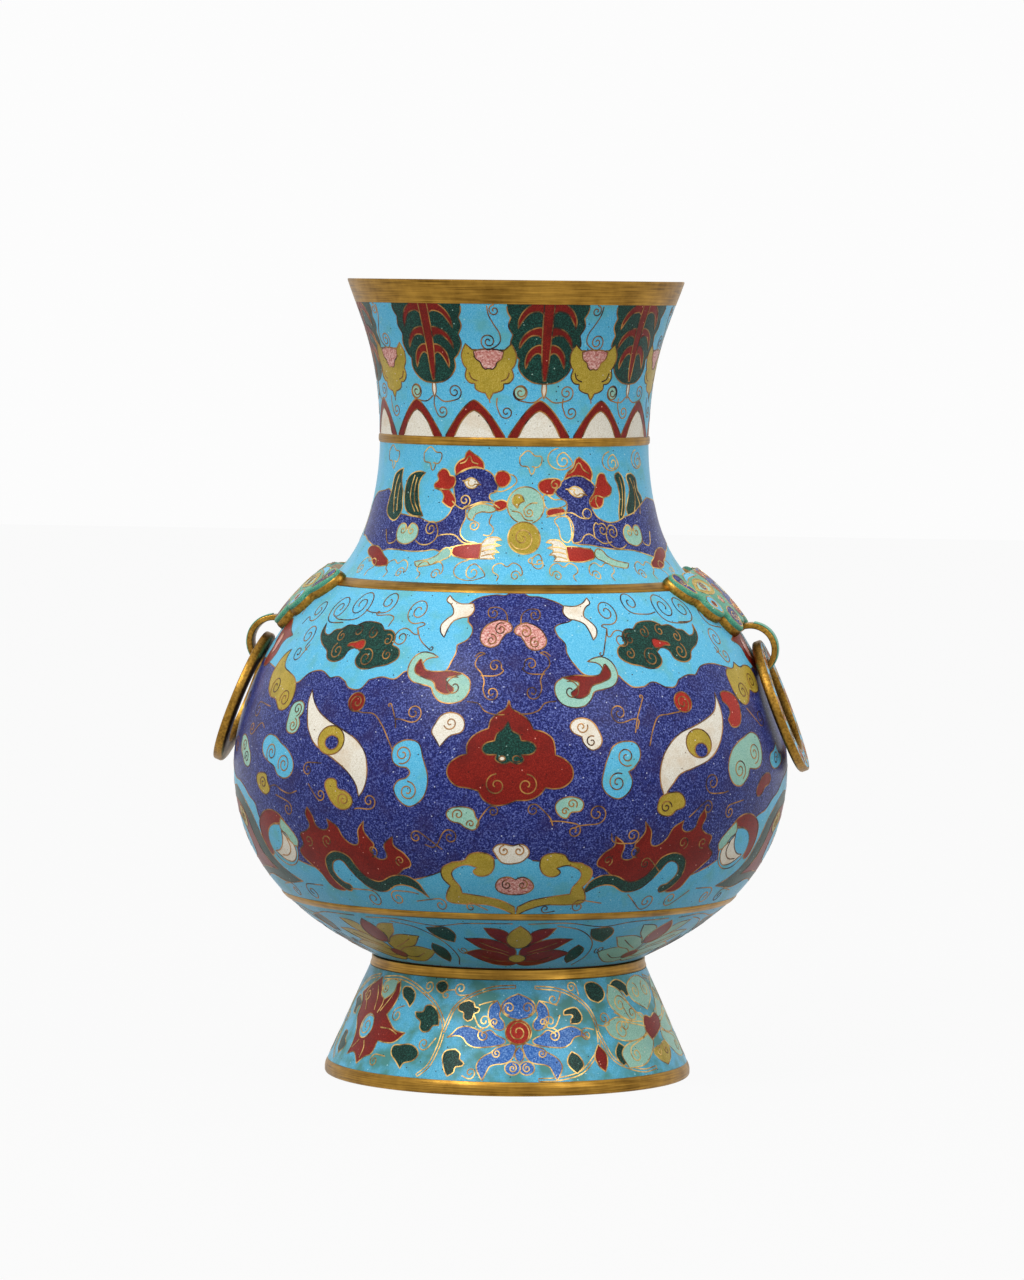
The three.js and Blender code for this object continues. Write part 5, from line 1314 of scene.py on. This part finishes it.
for leaf in (
        [(-36.4, 35.8, CORNER), (-33, 36.3), (-32.4, 38.8), (-30, 39.4), (-27, 37), (-25.6, 33.6),
            (-25.4, 30.6, CORNER), (-27.6, 30.2), (-28.6, 28), (-30.8, 27.2), (-32.8, 29), (-33, 31.6),
            (-35.4, 33.6)],
        [(-18.3, 37.8), (-18.9, 39.8), (-17.5, 41.6), (-15, 42.6, CORNER), (-12.9, 41.6), (-12.4, 39.8),
            (-10.6, 39.1), (-11.2, 37.4), (-12.6, 36.6), (-12.9, 34.4), (-14.6, 33.2, CORNER),
            (-16.2, 34.6), (-16.6, 37)],
        [(-21.8, 17.4), (-20.8, 19.7), (-17.6, 20.6, CORNER), (-15.8, 18.6), (-15.8, 16.4), (-14.1, 14.2),
            (-15.4, 13), (-16.9, 12.6), (-17.2, 10.2), (-19.2, 8.4, CORNER), (-20.4, 10.8), (-21.3, 14)],
        [(-41.8, 19.7), (-38.6, 20.6, CORNER), (-35, 21.2), (-32, 19.7), (-30.8, 16.9), (-32.5, 14),
            (-35.6, 12.6), (-36.4, 10, CORNER), (-39.2, 13.4), (-41.8, 16.3)],
        [(21, 36.2, CORNER), (21.3, 38), (23.3, 39), (26.3, 39.2), (28, 36.4), (28, 34), (26.4, 32.2),
            (23.2, 32.2, CORNER), (23.5, 34.2), (24.6, 35.8)],
        [(20, 14.7), (20.4, 17.4), (22, 19.8, CORNER), (24.2, 18), (25.4, 15.2), (25.4, 13),
            (22.9, 10, CORNER), (21.2, 11.9)],
        [(32.5, 49.4), (35.8, 50.3), (39.2, 48.6), (40.9, 45.2), (39.6, 42.4), (36.7, 40.8, CORNER),
            (33.3, 42.6), (32, 46.3)],
        [(45, 47.6), (48.3, 50.2), (51.7, 49.6), (54.8, 47), (55.6, 43.8), (52.6, 42.2, CORNER), (51, 44.8),
            (47.6, 45.4)],
        [(-29.6, 49.1), (-26.8, 50.6), (-24.7, 48.8), (-25, 46.2), (-26.8, 45, CORNER), (-29, 46.4)],
        [(-45.6, 45.8), (-41.7, 46.6, CORNER), (-38.8, 44.2), (-38.3, 40.8), (-39.6, 37.6, CORNER),
            (-42, 40.2), (-44.4, 42)],
        [(41.2, 22.4, CORNER), (43.8, 19.7), (44.4, 16.6), (43.3, 13.8), (40.8, 12, CORNER), (39, 15.2),
            (39, 18.8)],
        [(84, 38, CORNER), (86, 41), (89, 39.6), (91.4, 36), (89.4, 34), (89, 30.6, CORNER), (86.4, 31.6),
            (86, 34.6)],
        [(100, 36, CORNER), (103, 38.6), (105.6, 37.4), (108.4, 35), (106.6, 33), (107, 30, CORNER),
            (103.6, 30.6), (103, 33.6)],
        [(91, 20, CORNER), (94, 17.4), (93.4, 14.6), (94, 11.4), (90, 8.6, CORNER), (87.2, 12), (88.4, 15)],
        [(104, 22, CORNER), (107.4, 21.4), (108, 18.4), (110.4, 16), (107, 11.4, CORNER), (103.6, 14.6)]):
    cell("forest", leaf)
cell("red", [(32.4, 22.4, CORNER), (34.8, 18), (34.6, 14), (33, 10, CORNER), (30.9, 13), (30.2, 17.4)])

for side in (1, -1):
    for petal in (
            [(8, 42.8, CORNER), (10.6, 40.4), (11.2, 36), (10, 31.6), (7, 29.6), (5.2, 30.6), (5.4, 33.4),
                (7, 36), (6.6, 39.4)],
            [(4.8, 25.4), (8, 27.6), (10, 29.6), (12.6, 28.6, CORNER), (15.4, 30), (18.8, 31), (22, 29.8),
                (23.8, 27.2), (25.4, 25.6, CORNER), (21.6, 26.6), (19.4, 25.6), (18, 23.4), (15.2, 21.8),
                (11.2, 22), (8, 22.6), (5, 23.8)],
            [(1.4, 23.4), (4.6, 23), (7.8, 21.6), (9.4, 19.8), (11.6, 18.2), (13.4, 15.8), (14, 13.2),
                (13, 9.6), (11.8, 7.2, CORNER), (10.6, 10.8), (9.6, 13.4), (7.6, 14.4), (5.2, 14.8),
                (3, 16.2), (1.6, 19.6)]):
        cell("bright_blue", placed(petal, BLUE_LOTUS, side))
    cell("bright_blue", oval(BLUE_LOTUS + side * 2.3, 12.8, 2.5, 3))
    for azimuth, height, size, turn, start in (
            (12.4, 27.2, 2.6, -1.4, 90), (7.6, 19.4, 1.8, -1.4, 20), (3.4, 39.6, 2.8, 1.4, 270),
            (8.8, 33.2, 1.8, 1.4, 270), (2.3, 12.8, 1.8, 1.4, 90)):
        mirrored_start = start if side > 0 else 180 - start
        wire(curl(BLUE_LOTUS + side * azimuth, height, size, turn * side, mirrored_start))
    wire(placed([(8, 42.8), (11.4, 42), (15, 40.6)], BLUE_LOTUS, side))
cell("bright_blue", mirrored([(0, 22.4, CORNER), (1.5, 19.4), (1.1, 16.6), (0, 15.4, CORNER)], BLUE_LOTUS))
cell("bright_blue", mirrored([
    (0, 46, CORNER), (3.6, 44.2), (6.2, 41.4), (6, 38), (3.6, 35.6), (0, 34.4, CORNER)], BLUE_LOTUS))
cell("coral", oval(BLUE_LOTUS - 0.2, 28.9, 4.6, 5.4, 18))
wire(curl(BLUE_LOTUS - 0.2, 28.9, 5.4, 2, 200))

cell("red", [
    (-62, 49, CORNER), (-66, 46), (-70, 44), (-75.4, 40, CORNER), (-71, 36), (-70, 30), (-66, 24),
    (-64.6, 18), (-65.4, 12.4, CORNER), (-61, 14), (-57, 9.4, CORNER), (-54, 13), (-51, 15),
    (-50, 21, CORNER), (-46, 20.6), (-42, 21.4), (-38.2, 26, CORNER), (-43, 26.6), (-47, 30),
    (-50, 33, CORNER), (-47.6, 38), (-47, 44), (-48.6, 49, CORNER), (-51.6, 45), (-55, 40.4, CORNER),
    (-58, 43), (-60, 46)])
cell("turquoise", oval(RED_LOTUS - 2.6, 26.6, 4, 5.6, 16))
cell("pale_green", [
    (-58.4, 47, CORNER), (-54, 49), (-50, 48.6, CORNER), (-50.4, 43.4), (-54.6, 39.4, CORNER), (-58, 42)])
wire(curl(-56, 44.4, 2, 1.4, 180))
wire(curl(RED_LOTUS - 2.6, 26.6, 4.4, 1.6, 60))
for tip, root in (
        ((-62.6, 45), (-58.6, 34)), ((-71.4, 40), (-65, 33)), ((-64, 15.6), (-61, 20)),
        ((-56.6, 12), (-57.6, 20)), ((-42, 25), (-51, 27)), ((-49.4, 45), (-54.6, 34)),
        ((-55, 39.6), (-56, 33))):
    bend = ((tip[0] + root[0]) / 2 + 0.8, (tip[1] + root[1]) / 2 + 0.8)
    wire([root, bend, tip])

for side in (1, -1):
    for petal, azimuth, height, size in (
            ([(5, 33), (9, 35), (12, 40), (15, 45.6), (20, 48.4, CORNER), (22.4, 41.6), (19.6, 35.6),
                (13.4, 31.4), (7, 30)], 16.6, 39.4, 3.4),
            ([(6, 29.6), (13, 31), (20, 33.6), (27, 31, CORNER), (25, 25.6), (18, 22.6), (10, 23.4),
                (6, 26.4)], 19.4, 27.6, 3.6),
            ([(5, 25), (10, 22.8), (17, 22), (22.4, 17.6), (21, 10.6, CORNER), (13.4, 11.4), (8, 15.6),
                (4, 21.4)], 16, 16.4, 3.4)):
        cell("pale_green", placed(petal, GREEN_LOTUS, side))
        wire(scroll([(GREEN_LOTUS + side * 6, 28 + (height - 28) * 0.3)], GREEN_LOTUS + side * azimuth,
            height, size, -1.4 * side))
    wire(curl(GREEN_LOTUS + side * 2.8, 16, 2.2, 1.3 * side, 90))
    wire(curl(GREEN_LOTUS + side * 4.4, 44, 3.2, 1.4 * side, 90))
cell("pale_green", mirrored([
    (0, 50.8, CORNER), (5, 49.6), (9.4, 46), (8.6, 41), (4, 37.4), (0, 35, CORNER)], GREEN_LOTUS))
cell("red", placed([
    (-3.6, 32.6), (0, 31.4), (4, 32.8), (7, 30.6), (6.4, 27), (2, 24.4), (-4.6, 21.4, CORNER), (-6.6, 26),
    (-6, 30.6)], GREEN_LOTUS))
cell("ochre", mirrored([
    (0, 18.6, CORNER), (4, 19.8), (6.2, 16.6), (4.4, 12.6), (0, 9.4, CORNER)], GREEN_LOTUS)[:-1])
for azimuth, height, size, turn, tail in (
        (26, 48.4, 2.2, 1.4, (28.6, 44.6)), (-19, 47.6, 2.6, -1.4, (-15, 45)),
        (-8.4, 33.6, 3, 1.5, (-12.6, 36.4)), (15.4, 33.6, 3, -1.5, (19.6, 36.4)),
        (-11.8, 10.4, 2.4, 1.3, (-14.4, 9)), (37.6, 33.6, 3, 1.5, (34.2, 31)),
        (52.6, 34.6, 3, 1.4, (48.6, 38)), (28.6, 27, 2.6, 1.4, (32, 29)),
        (-29.6, 22, 2.6, -1.4, (-25.4, 25)), (-44.6, 33.4, 2.8, 1.4, (-42, 38)),
        (-33, 47.6, 2.4, 1.4, (-35.4, 44.4)), (17.6, 43.4, 2.2, -1.2, (21, 46)),
        (98, 28, 2.8, 1.4, (95.4, 31)), (112, 40, 3, 1.4, (114, 48)), (79.6, 40.6, 2.6, 1.3, (76, 46)),
        (46.4, 30, 2.6, -1.3, (43, 36)), (-48.6, 12, 2.6, 1.4, (-44, 14.6)),
        (-24.6, 44.4, 1.8, 1.1, (-21.4, 47))):
    wire(scroll([tail], azimuth, height, size, turn))
foot_panel.make("foot_lotus_field", "foot_lotus_enamel", "foot_enamel", bright_wire)

# The handles' masks: on each shoulder a gilt bronze casting in the shape of a beast's head, seen from
# above, filled with enamel: a jade green face with turquoise brows, a lapis ridge with red patches,
# slanting eyes and a red nose. It is soldered to the body and pinned from inside.
CASTING_LOW, CASTING_TOP, CASTING_ROUND = 0.9, 4.2, 2.2
FACE_LOW, FACE_TOP, FACE_INSET, FACE_ROUND, ROUNDING = 4.3, 5.55, 0.9, 1.6, (0.08, 0.3, 0.65, 1)
RIDGE_HEIGHT, RIDGE_WIDTH, RIDGE_FROM, RIDGE_RISE = 0.25, 5, -4, 8
MASK_GRID, MASK_ACROSS, MASK_DOWN, MASK_SHARP = 1.6, (-48, 48), (-6, 36), math.radians(50)
MASK_HALF = [
    (0, -5.4), (12, -5.4), (19, -4.2), (25, -4), (31, -2.4, CORNER), (37, -4.5), (43, -2.4), (46.4, 4.6),
    (44.5, 10.8), (39.8, 14, CORNER), (40, 17), (37.4, 22.4), (33, 24.8), (28.6, 24.4, CORNER), (28.4, 27),
    (25.6, 31.2), (20.5, 33.5), (15.4, 32), (13.4, 29.2, CORNER), (9, 30), (4, 29.1), (0, 26.8)]
HANDLE_ANGLES = {"right": math.pi / 2, "left": 3 * math.pi / 2}


def inward(outline):
    """The directions that point into an outline from its points."""
    step = np.roll(outline, -1, axis=0) - np.roll(outline, 1, axis=0)
    step /= np.hypot(step[:, 0], step[:, 1])[:, None]
    return np.stack([-step[:, 1], step[:, 0]], axis=1)


def reach(outline, spots):
    """How far each spot is from the outline."""
    start, end = outline, np.roll(outline, -1, axis=0)
    chord = end - start
    t = ((spots[:, None] - start) * chord).sum(axis=2) / ((chord ** 2).sum(axis=1) + 1e-12)
    foot = start + np.clip(t, 0, 1)[..., None] * chord
    return np.hypot(*(spots[:, None] - foot).transpose(2, 0, 1)).min(axis=1)


def inset(outline, distance):
    """The points of an outline moved inwards, without those that come too near to it again."""
    return clear_of(outline, outline + inward(outline) * distance, distance)


def clear_of(outline, spots, distance):
    return spots[reach(outline, spots) > distance * 0.96 - 1e-6]


class Mask(Panel):
    """A layer on the shoulder under one handle, drawn as (mm to the side, mm down the slope)."""

    def __init__(self, side, distance, low, top, edge, ground=None):
        self.wall, self.angle, self.ground, self.edge = vase_wall, HANDLE_ANGLES[side], ground, edge
        self.bottom, self.rise = low, top - low
        self.middle, self.turns, self.scale = 0, [0], 1
        self.cells, self.wires = [], []
        self.outline = inset(smooth(mirrored(MASK_HALF, 0), 1), distance)

    def relief(self, spots):
        """The height over the layer's low side: a rounded edge and a raised ridge down the middle."""
        share = np.clip(reach(self.outline, spots) / self.edge, 0, 1)
        ridge = (RIDGE_HEIGHT * np.exp(-(spots[:, 0] / RIDGE_WIDTH) ** 2)
                 * np.clip((spots[:, 1] - RIDGE_FROM) / RIDGE_RISE, 0, 1))
        return self.rise * np.sqrt(1 - (1 - share) ** 2) + share * ridge

    def degree_at(self, down):
        return self.scale

    def spot(self, sideways, down, lift):
        height = np.interp(self.wall.at(SHOULDER_Z, self.wall.along) - down, self.wall.along,
                           self.wall.heights)
        radius = self.wall.at(height, self.wall.radii)
        angle, radius = self.angle + sideways / radius, radius + lift * self.wall.at(height, self.wall.out)
        z = height + lift * self.wall.at(height, self.wall.up)
        return np.stack([radius * np.sin(angle), -radius * np.cos(angle), z], axis=1)

    def outward(self, sideways, down):
        across = self.spot(sideways + 0.01, down, 0) - self.spot(sideways - 0.01, down, 0)
        along = self.spot(sideways, down - 0.01, 0) - self.spot(sideways, down + 0.01, 0)
        out = np.cross(across, along)
        return out / np.linalg.norm(out, axis=1)[:, None]

    def skin(self, curve):
        out = self.outward(*curve.T)
        return self.spot(*curve.T, 0) + out * (self.bottom + self.relief(curve))[:, None], out

    def seen(self, curve, order):
        return np.ones(len(curve), bool)

    def make(self, name, node, slot, materials):
        """The layer as one closed mesh: a face, its edge and its back."""
        outlines = [self.outline] + [curve for _, curve in self.cells]
        rounded = [inset(self.outline, self.edge * share) for share in ROUNDING]
        grid = np.stack(np.meshgrid(np.arange(*MASK_ACROSS, MASK_GRID), np.arange(*MASK_DOWN, MASK_GRID)),
                        axis=2).reshape(-1, 2)
        spots = outlines + rounded + [clear_of(self.outline, grid, self.edge * 1.3)]
        flat, top, sources = cut_up(np.concatenate(spots), outlines, 1e-6)
        skin = self.spot(*flat.T, self.bottom + self.relief(flat))
        top = facing_out(top, skin, self.outward(*flat.T))
        rim, _ = rim_of(top)
        below = len(skin)
        back = [tuple(v + below for v in face[::-1]) for face in top]
        walls = [(b, a, a + below, b + below) for a, b in rim]
        points = np.concatenate([skin, self.spot(*flat.T, self.bottom - ENAMEL)])
        piece = new_piece(name, points, top + back + walls)
        finish_mesh(piece, materials, [node])
        if self.cells:
            colours = [GLASS_ORDER.index(colour) for colour in [self.ground] + [c for c, _ in self.cells]]
            piece.data.polygons.foreach_set(
                "material_index", [colours[s] for s in sources] * 2 + [colours[0]] * len(walls))
        bpy.ops.object.select_all(action="DESELECT")
        piece.select_set(True)
        bpy.context.view_layer.objects.active = piece
        bpy.ops.object.shade_smooth_by_angle(angle=MASK_SHARP)
        if self.wires:
            self.lay_wires(name + "_wires", bright_wire, WIRE_WIDTH, "vase")


for side in HANDLE_ANGLES:
    casting = Mask(side, 0, CASTING_LOW, CASTING_TOP, CASTING_ROUND)
    casting.make(side + "_mask_gilt", side + "_mask_casting", "gilt", [rubbed_gilt])
    face = Mask(side, FACE_INSET, FACE_LOW, FACE_TOP, FACE_ROUND, "jade")
    face.cell("lapis", mirrored([
        (0, -4.4), (9, -4.2), (14, -2, CORNER), (12, 3), (14.6, 7.6, CORNER), (11, 12), (12, 18, CORNER),
        (9.6, 23), (5, 26.6), (0, 26)], 0))
    face.cell("coral", mirrored([(0, -3), (3, -1), (2, 2.4), (0, 3.6)], 0))
    face.cell("turquoise", mirrored([(0, 6), (2.6, 8.4), (2, 12), (0, 13.6)], 0))
    face.cell("coral", mirrored([(0, 17), (4.4, 17.6), (7.2, 20.6), (6.4, 24), (3, 24.8), (0, 23.6)], 0))
    for half in (1, -1):
        for colour, outline in (
                ("coral", [(7, -2.6), (11.4, -2.4), (10, 1.6), (7.4, 3)]),
                ("coral", [(8, 8), (11.4, 7), (9.4, 11.4), (7.6, 13)]),
                ("ochre", [(15.6, 8.6, CORNER), (20, 3.6), (27, 2.4), (33, 4.6), (37, 9, CORNER),
                    (31, 11.6), (24, 12.2), (19, 11)]),
                ("pale_green", [(18.6, 8.2, CORNER), (22, 5.2), (27, 4.4), (31.4, 6), (34, 8.8, CORNER),
                    (29, 10), (23, 10.4)]),
                ("lapis", face.oval(26.4, 7.4, 2.7, 2.5)),
                ("turquoise", [(17, 0.4, CORNER), (22, -2.8), (29, -2.6), (35, 1), (37.6, 4.4, CORNER),
                    (31, 1.6), (24, 0.6)]),
                ("lapis", [(38.4, -1.6), (42, -1), (44.4, 3.6), (42.6, 8.8), (39.4, 10.6), (39.6, 5)]),
                ("pink", face.oval(19.4, 15.6, 2.3, 2.1)),
                ("turquoise", [(30, 14), (35, 13.6), (37.4, 17), (34.6, 21), (31, 22.4), (28.6, 18.6)]),
                ("red", face.oval(33, 17.6, 1.8, 1.8)),
                ("lapis", [(15.6, 21), (20.6, 20), (25, 22.6), (24.4, 27.6), (20.4, 31), (16.4, 29),
                    (14.4, 25)])):
            face.cell(colour, placed(outline, 0, half))
        for sideways, down, size in ((20, 25.6, 3.2), (41.4, 4.4, 1.8), (26.4, 7.4, 1.7), (3.4, 21, 1.8)):
            face.wire(face.curl(half * sideways, down, size, half * 1.5, 90))
    face.make(side + "_mask_face", side + "_mask_enamel", "mask_enamel", glasses.values())

# The hooks that carry the rings: gilt straps bent round from under each mask, with jade green enamel on
# the back of each.
HOOK_X, HOOK_Z, HOOK_INSIDE, HOOK_OUTSIDE, HOOK_WIDTH = 114.6, 205.5, 10.2, 12.8, 12
HOOK_FROM, HOOK_TO, HOOK_ENAMEL_FROM = 150, -50, 84
HOOK_ENAMEL_INSIDE, HOOK_ENAMEL_OUTSIDE, HOOK_ENAMEL_WIDTH = 12.75, 13.3, 10
HOOK_CORNER, HOOK_ENAMEL_CORNER, HOOK_STEPS, HOOK_SHARP = 0.5, 0.3, 48, math.radians(40)
HALF_TURN = {"right": Matrix.Identity(4), "left": Matrix.Rotation(math.pi, 4, "Z")}


def bent_strap(name, side, inside, outside, width, start, corner):
    """A flat strap with rounded corners, bent to an arc round the ring's place."""
    bpy.ops.object.select_all(action="DESELECT")
    middle, lean = (inside + outside) / 2, math.radians(start)
    bpy.ops.mesh.primitive_plane_add(size=1, rotation=(math.pi / 2, 0, 0))
    strap = bpy.context.object
    strap.dimensions = (width, outside - inside, 0)
    bpy.ops.object.transform_apply(location=False, rotation=True, scale=True)
    bpy.ops.object.mode_set(mode="EDIT")
    bpy.ops.mesh.select_all(action="SELECT")
    bpy.ops.mesh.bevel(offset=corner, segments=4, affect="VERTICES")
    bpy.ops.transform.rotate(value=math.pi / 2, orient_axis="Z", center_override=(0, 0, 0))
    bpy.ops.transform.translate(value=(0, 0, middle))
    bpy.ops.mesh.spin(steps=HOOK_STEPS, angle=math.radians(HOOK_TO - start), center=(0, 0, 0),
                      axis=(0, 1, 0))
    bpy.ops.mesh.select_all(action="SELECT")
    bpy.ops.mesh.fill_holes(sides=0)
    bpy.ops.mesh.normals_make_consistent(inside=False)
    bpy.ops.object.mode_set(mode="OBJECT")
    strap.name = strap.data.name = side + "_" + name
    strap.matrix_world = (HALF_TURN[side] @ Matrix.Translation((HOOK_X * MM, 0, HOOK_Z * MM))
                          @ Matrix.Rotation(math.pi / 2 - lean, 4, "Y") @ Matrix.Scale(MM, 4))
    bpy.ops.object.transform_apply(location=True, rotation=True, scale=True)
    bpy.ops.object.shade_smooth_by_angle(angle=HOOK_SHARP)
    return strap


for side in HANDLE_ANGLES:
    hook = bent_strap("hook_strap", side, HOOK_INSIDE, HOOK_OUTSIDE, HOOK_WIDTH, HOOK_FROM,
                      HOOK_CORNER)
    finish_mesh(hook, [rubbed_gilt], [side + "_hook"])
    back = bent_strap("hook_back", side, HOOK_ENAMEL_INSIDE, HOOK_ENAMEL_OUTSIDE, HOOK_ENAMEL_WIDTH,
                      HOOK_ENAMEL_FROM, HOOK_ENAMEL_CORNER)
    finish_mesh(back, [glasses["jade"]], [side + "_hook_enamel"])

# The loose rings: gilt bronze rings with rounded edges, hung in the hooks and leaning on the body, with a
# band of enamel let into the front: red clouds, and white hearts in lapis and ochre petals, on turquoise.
RING_LEAN, RING_X, RING_Z = math.radians(21.5), 129.1, 178.6
RING_SECTION = [
    (22.8, -1.1), (23.1, -1.8), (24, -2.3), (31.8, -2.3), (32.7, -1.8), (33.1, -1.1), (33.1, 1.6),
    (32.8, 2.1), (32.2, 2.3), (32, 2.3), (32, 1.2), (24.2, 1.2), (24.2, 2.3), (23.5, 2.3), (23, 2.2),
    (22.8, 1.8)]
INLAY_INSIDE, INLAY_OUTSIDE, INLAY_TOP, INLAY_DEPTH, INLAY_WIRE = 24.5, 31.7, 2.25, 0.75, 0.5
INLAY_REACH, INLAY_STEP, INLAY_ROW_SHIFT, PETAL_STEP = 40, 6, 0.03, 60


class RingPanel(Panel):
    """The enamel of a ring, drawn as (degrees round from the ring's top, radius in mm)."""

    def __init__(self, place):
        self.place, self.low, self.high, self.ground = place, INLAY_INSIDE, INLAY_OUTSIDE, "turquoise"
        self.middle, self.turns, self.depth = 0, [0], INLAY_DEPTH
        self.cells, self.wires, self.scale = [], [], math.radians((INLAY_INSIDE + INLAY_OUTSIDE) / 2)

    def spot(self, angle, radius, lift):
        turn, height = np.radians(angle), np.full(len(angle), INLAY_TOP + lift)
        local = np.stack([radius * np.cos(turn), radius * np.sin(turn), height])
        placing = np.array(self.place)
        return (placing[:3, :3] @ local).T + placing[:3, 3]

    def outward(self, angle, radius):
        return np.tile(np.array(self.place)[:3, 2], (len(angle), 1))

    def degree_at(self, radius):
        return self.scale

    def flatten(self, angle, radius):
        turn = np.radians(angle)
        return np.stack([radius * np.cos(turn), radius * np.sin(turn)], axis=1) / INLAY_REACH

    def unflatten(self, flat):
        return (np.degrees(np.arctan2(flat[:, 1], flat[:, 0])),
                np.hypot(flat[:, 0], flat[:, 1]) * INLAY_REACH)

    def loops(self):
        return super().loops()[::-1]

    def grid(self):
        around, middle = np.arange(0, 360, INLAY_STEP), (self.low + self.high) / 2 + INLAY_ROW_SHIFT
        return np.stack([around, np.full(len(around), middle)], axis=1)


for side in HANDLE_ANGLES:
    lean = Matrix(((math.sin(RING_LEAN), 0, math.cos(RING_LEAN), RING_X), (0, 1, 0, 0),
                   (-math.cos(RING_LEAN), 0, math.sin(RING_LEAN), RING_Z), (0, 0, 0, 1)))
    place = HALF_TURN[side] @ lean
    ring = turned(side + "_ring_gilt", RING_SECTION, place)
    finish_mesh(ring, [rubbed_gilt], [side + "_ring"], side + "_ring")
    inlay = RingPanel(place)
    for k in range(6):
        middle = PETAL_STEP * (k + 0.5)
        inlay.cell("coral", [
            (middle - 10, 25.6), (middle - 3, 25), (middle + 3, 25.8), (middle + 10, 25.2),
            (middle + 13.4, 28.2), (middle + 8, 31.1), (middle, 30), (middle - 8, 31.2),
            (middle - 13.4, 28.4)])
        inlay.wire(inlay.curl(middle - 4.4, 28, 1.5, 1.2, 90))
        inlay.wire(inlay.curl(middle + 4.6, 28.2, 1.5, -1.2, 90))
        other = middle + PETAL_STEP / 2
        inlay.cell("lapis" if k % 2 else "ochre", [
            (other - 8, 28.2, CORNER), (other - 3, 30.6), (other + 3, 30.6), (other + 8, 28.2, CORNER),
            (other + 3, 25.6), (other - 3, 25.6)])
        inlay.cell("white", inlay.oval(other, 28.1, 3.2, 1.5, 10))
    inlay.make(side + "_ring_inlay", side + "_ring_enamel", "ring_enamel", bright_wire, INLAY_WIRE,
               side + "_ring")

# The pins that hold the masks from inside the shoulder keep their plain turned shapes, in gilt bronze.
for side in HANDLE_ANGLES:
    for pin in ("front_stud", "front_washer", "back_stud", "back_washer"):
        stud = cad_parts[side + "_" + pin]
        stud.data.materials.clear()
        stud.data.materials.append(rubbed_gilt)
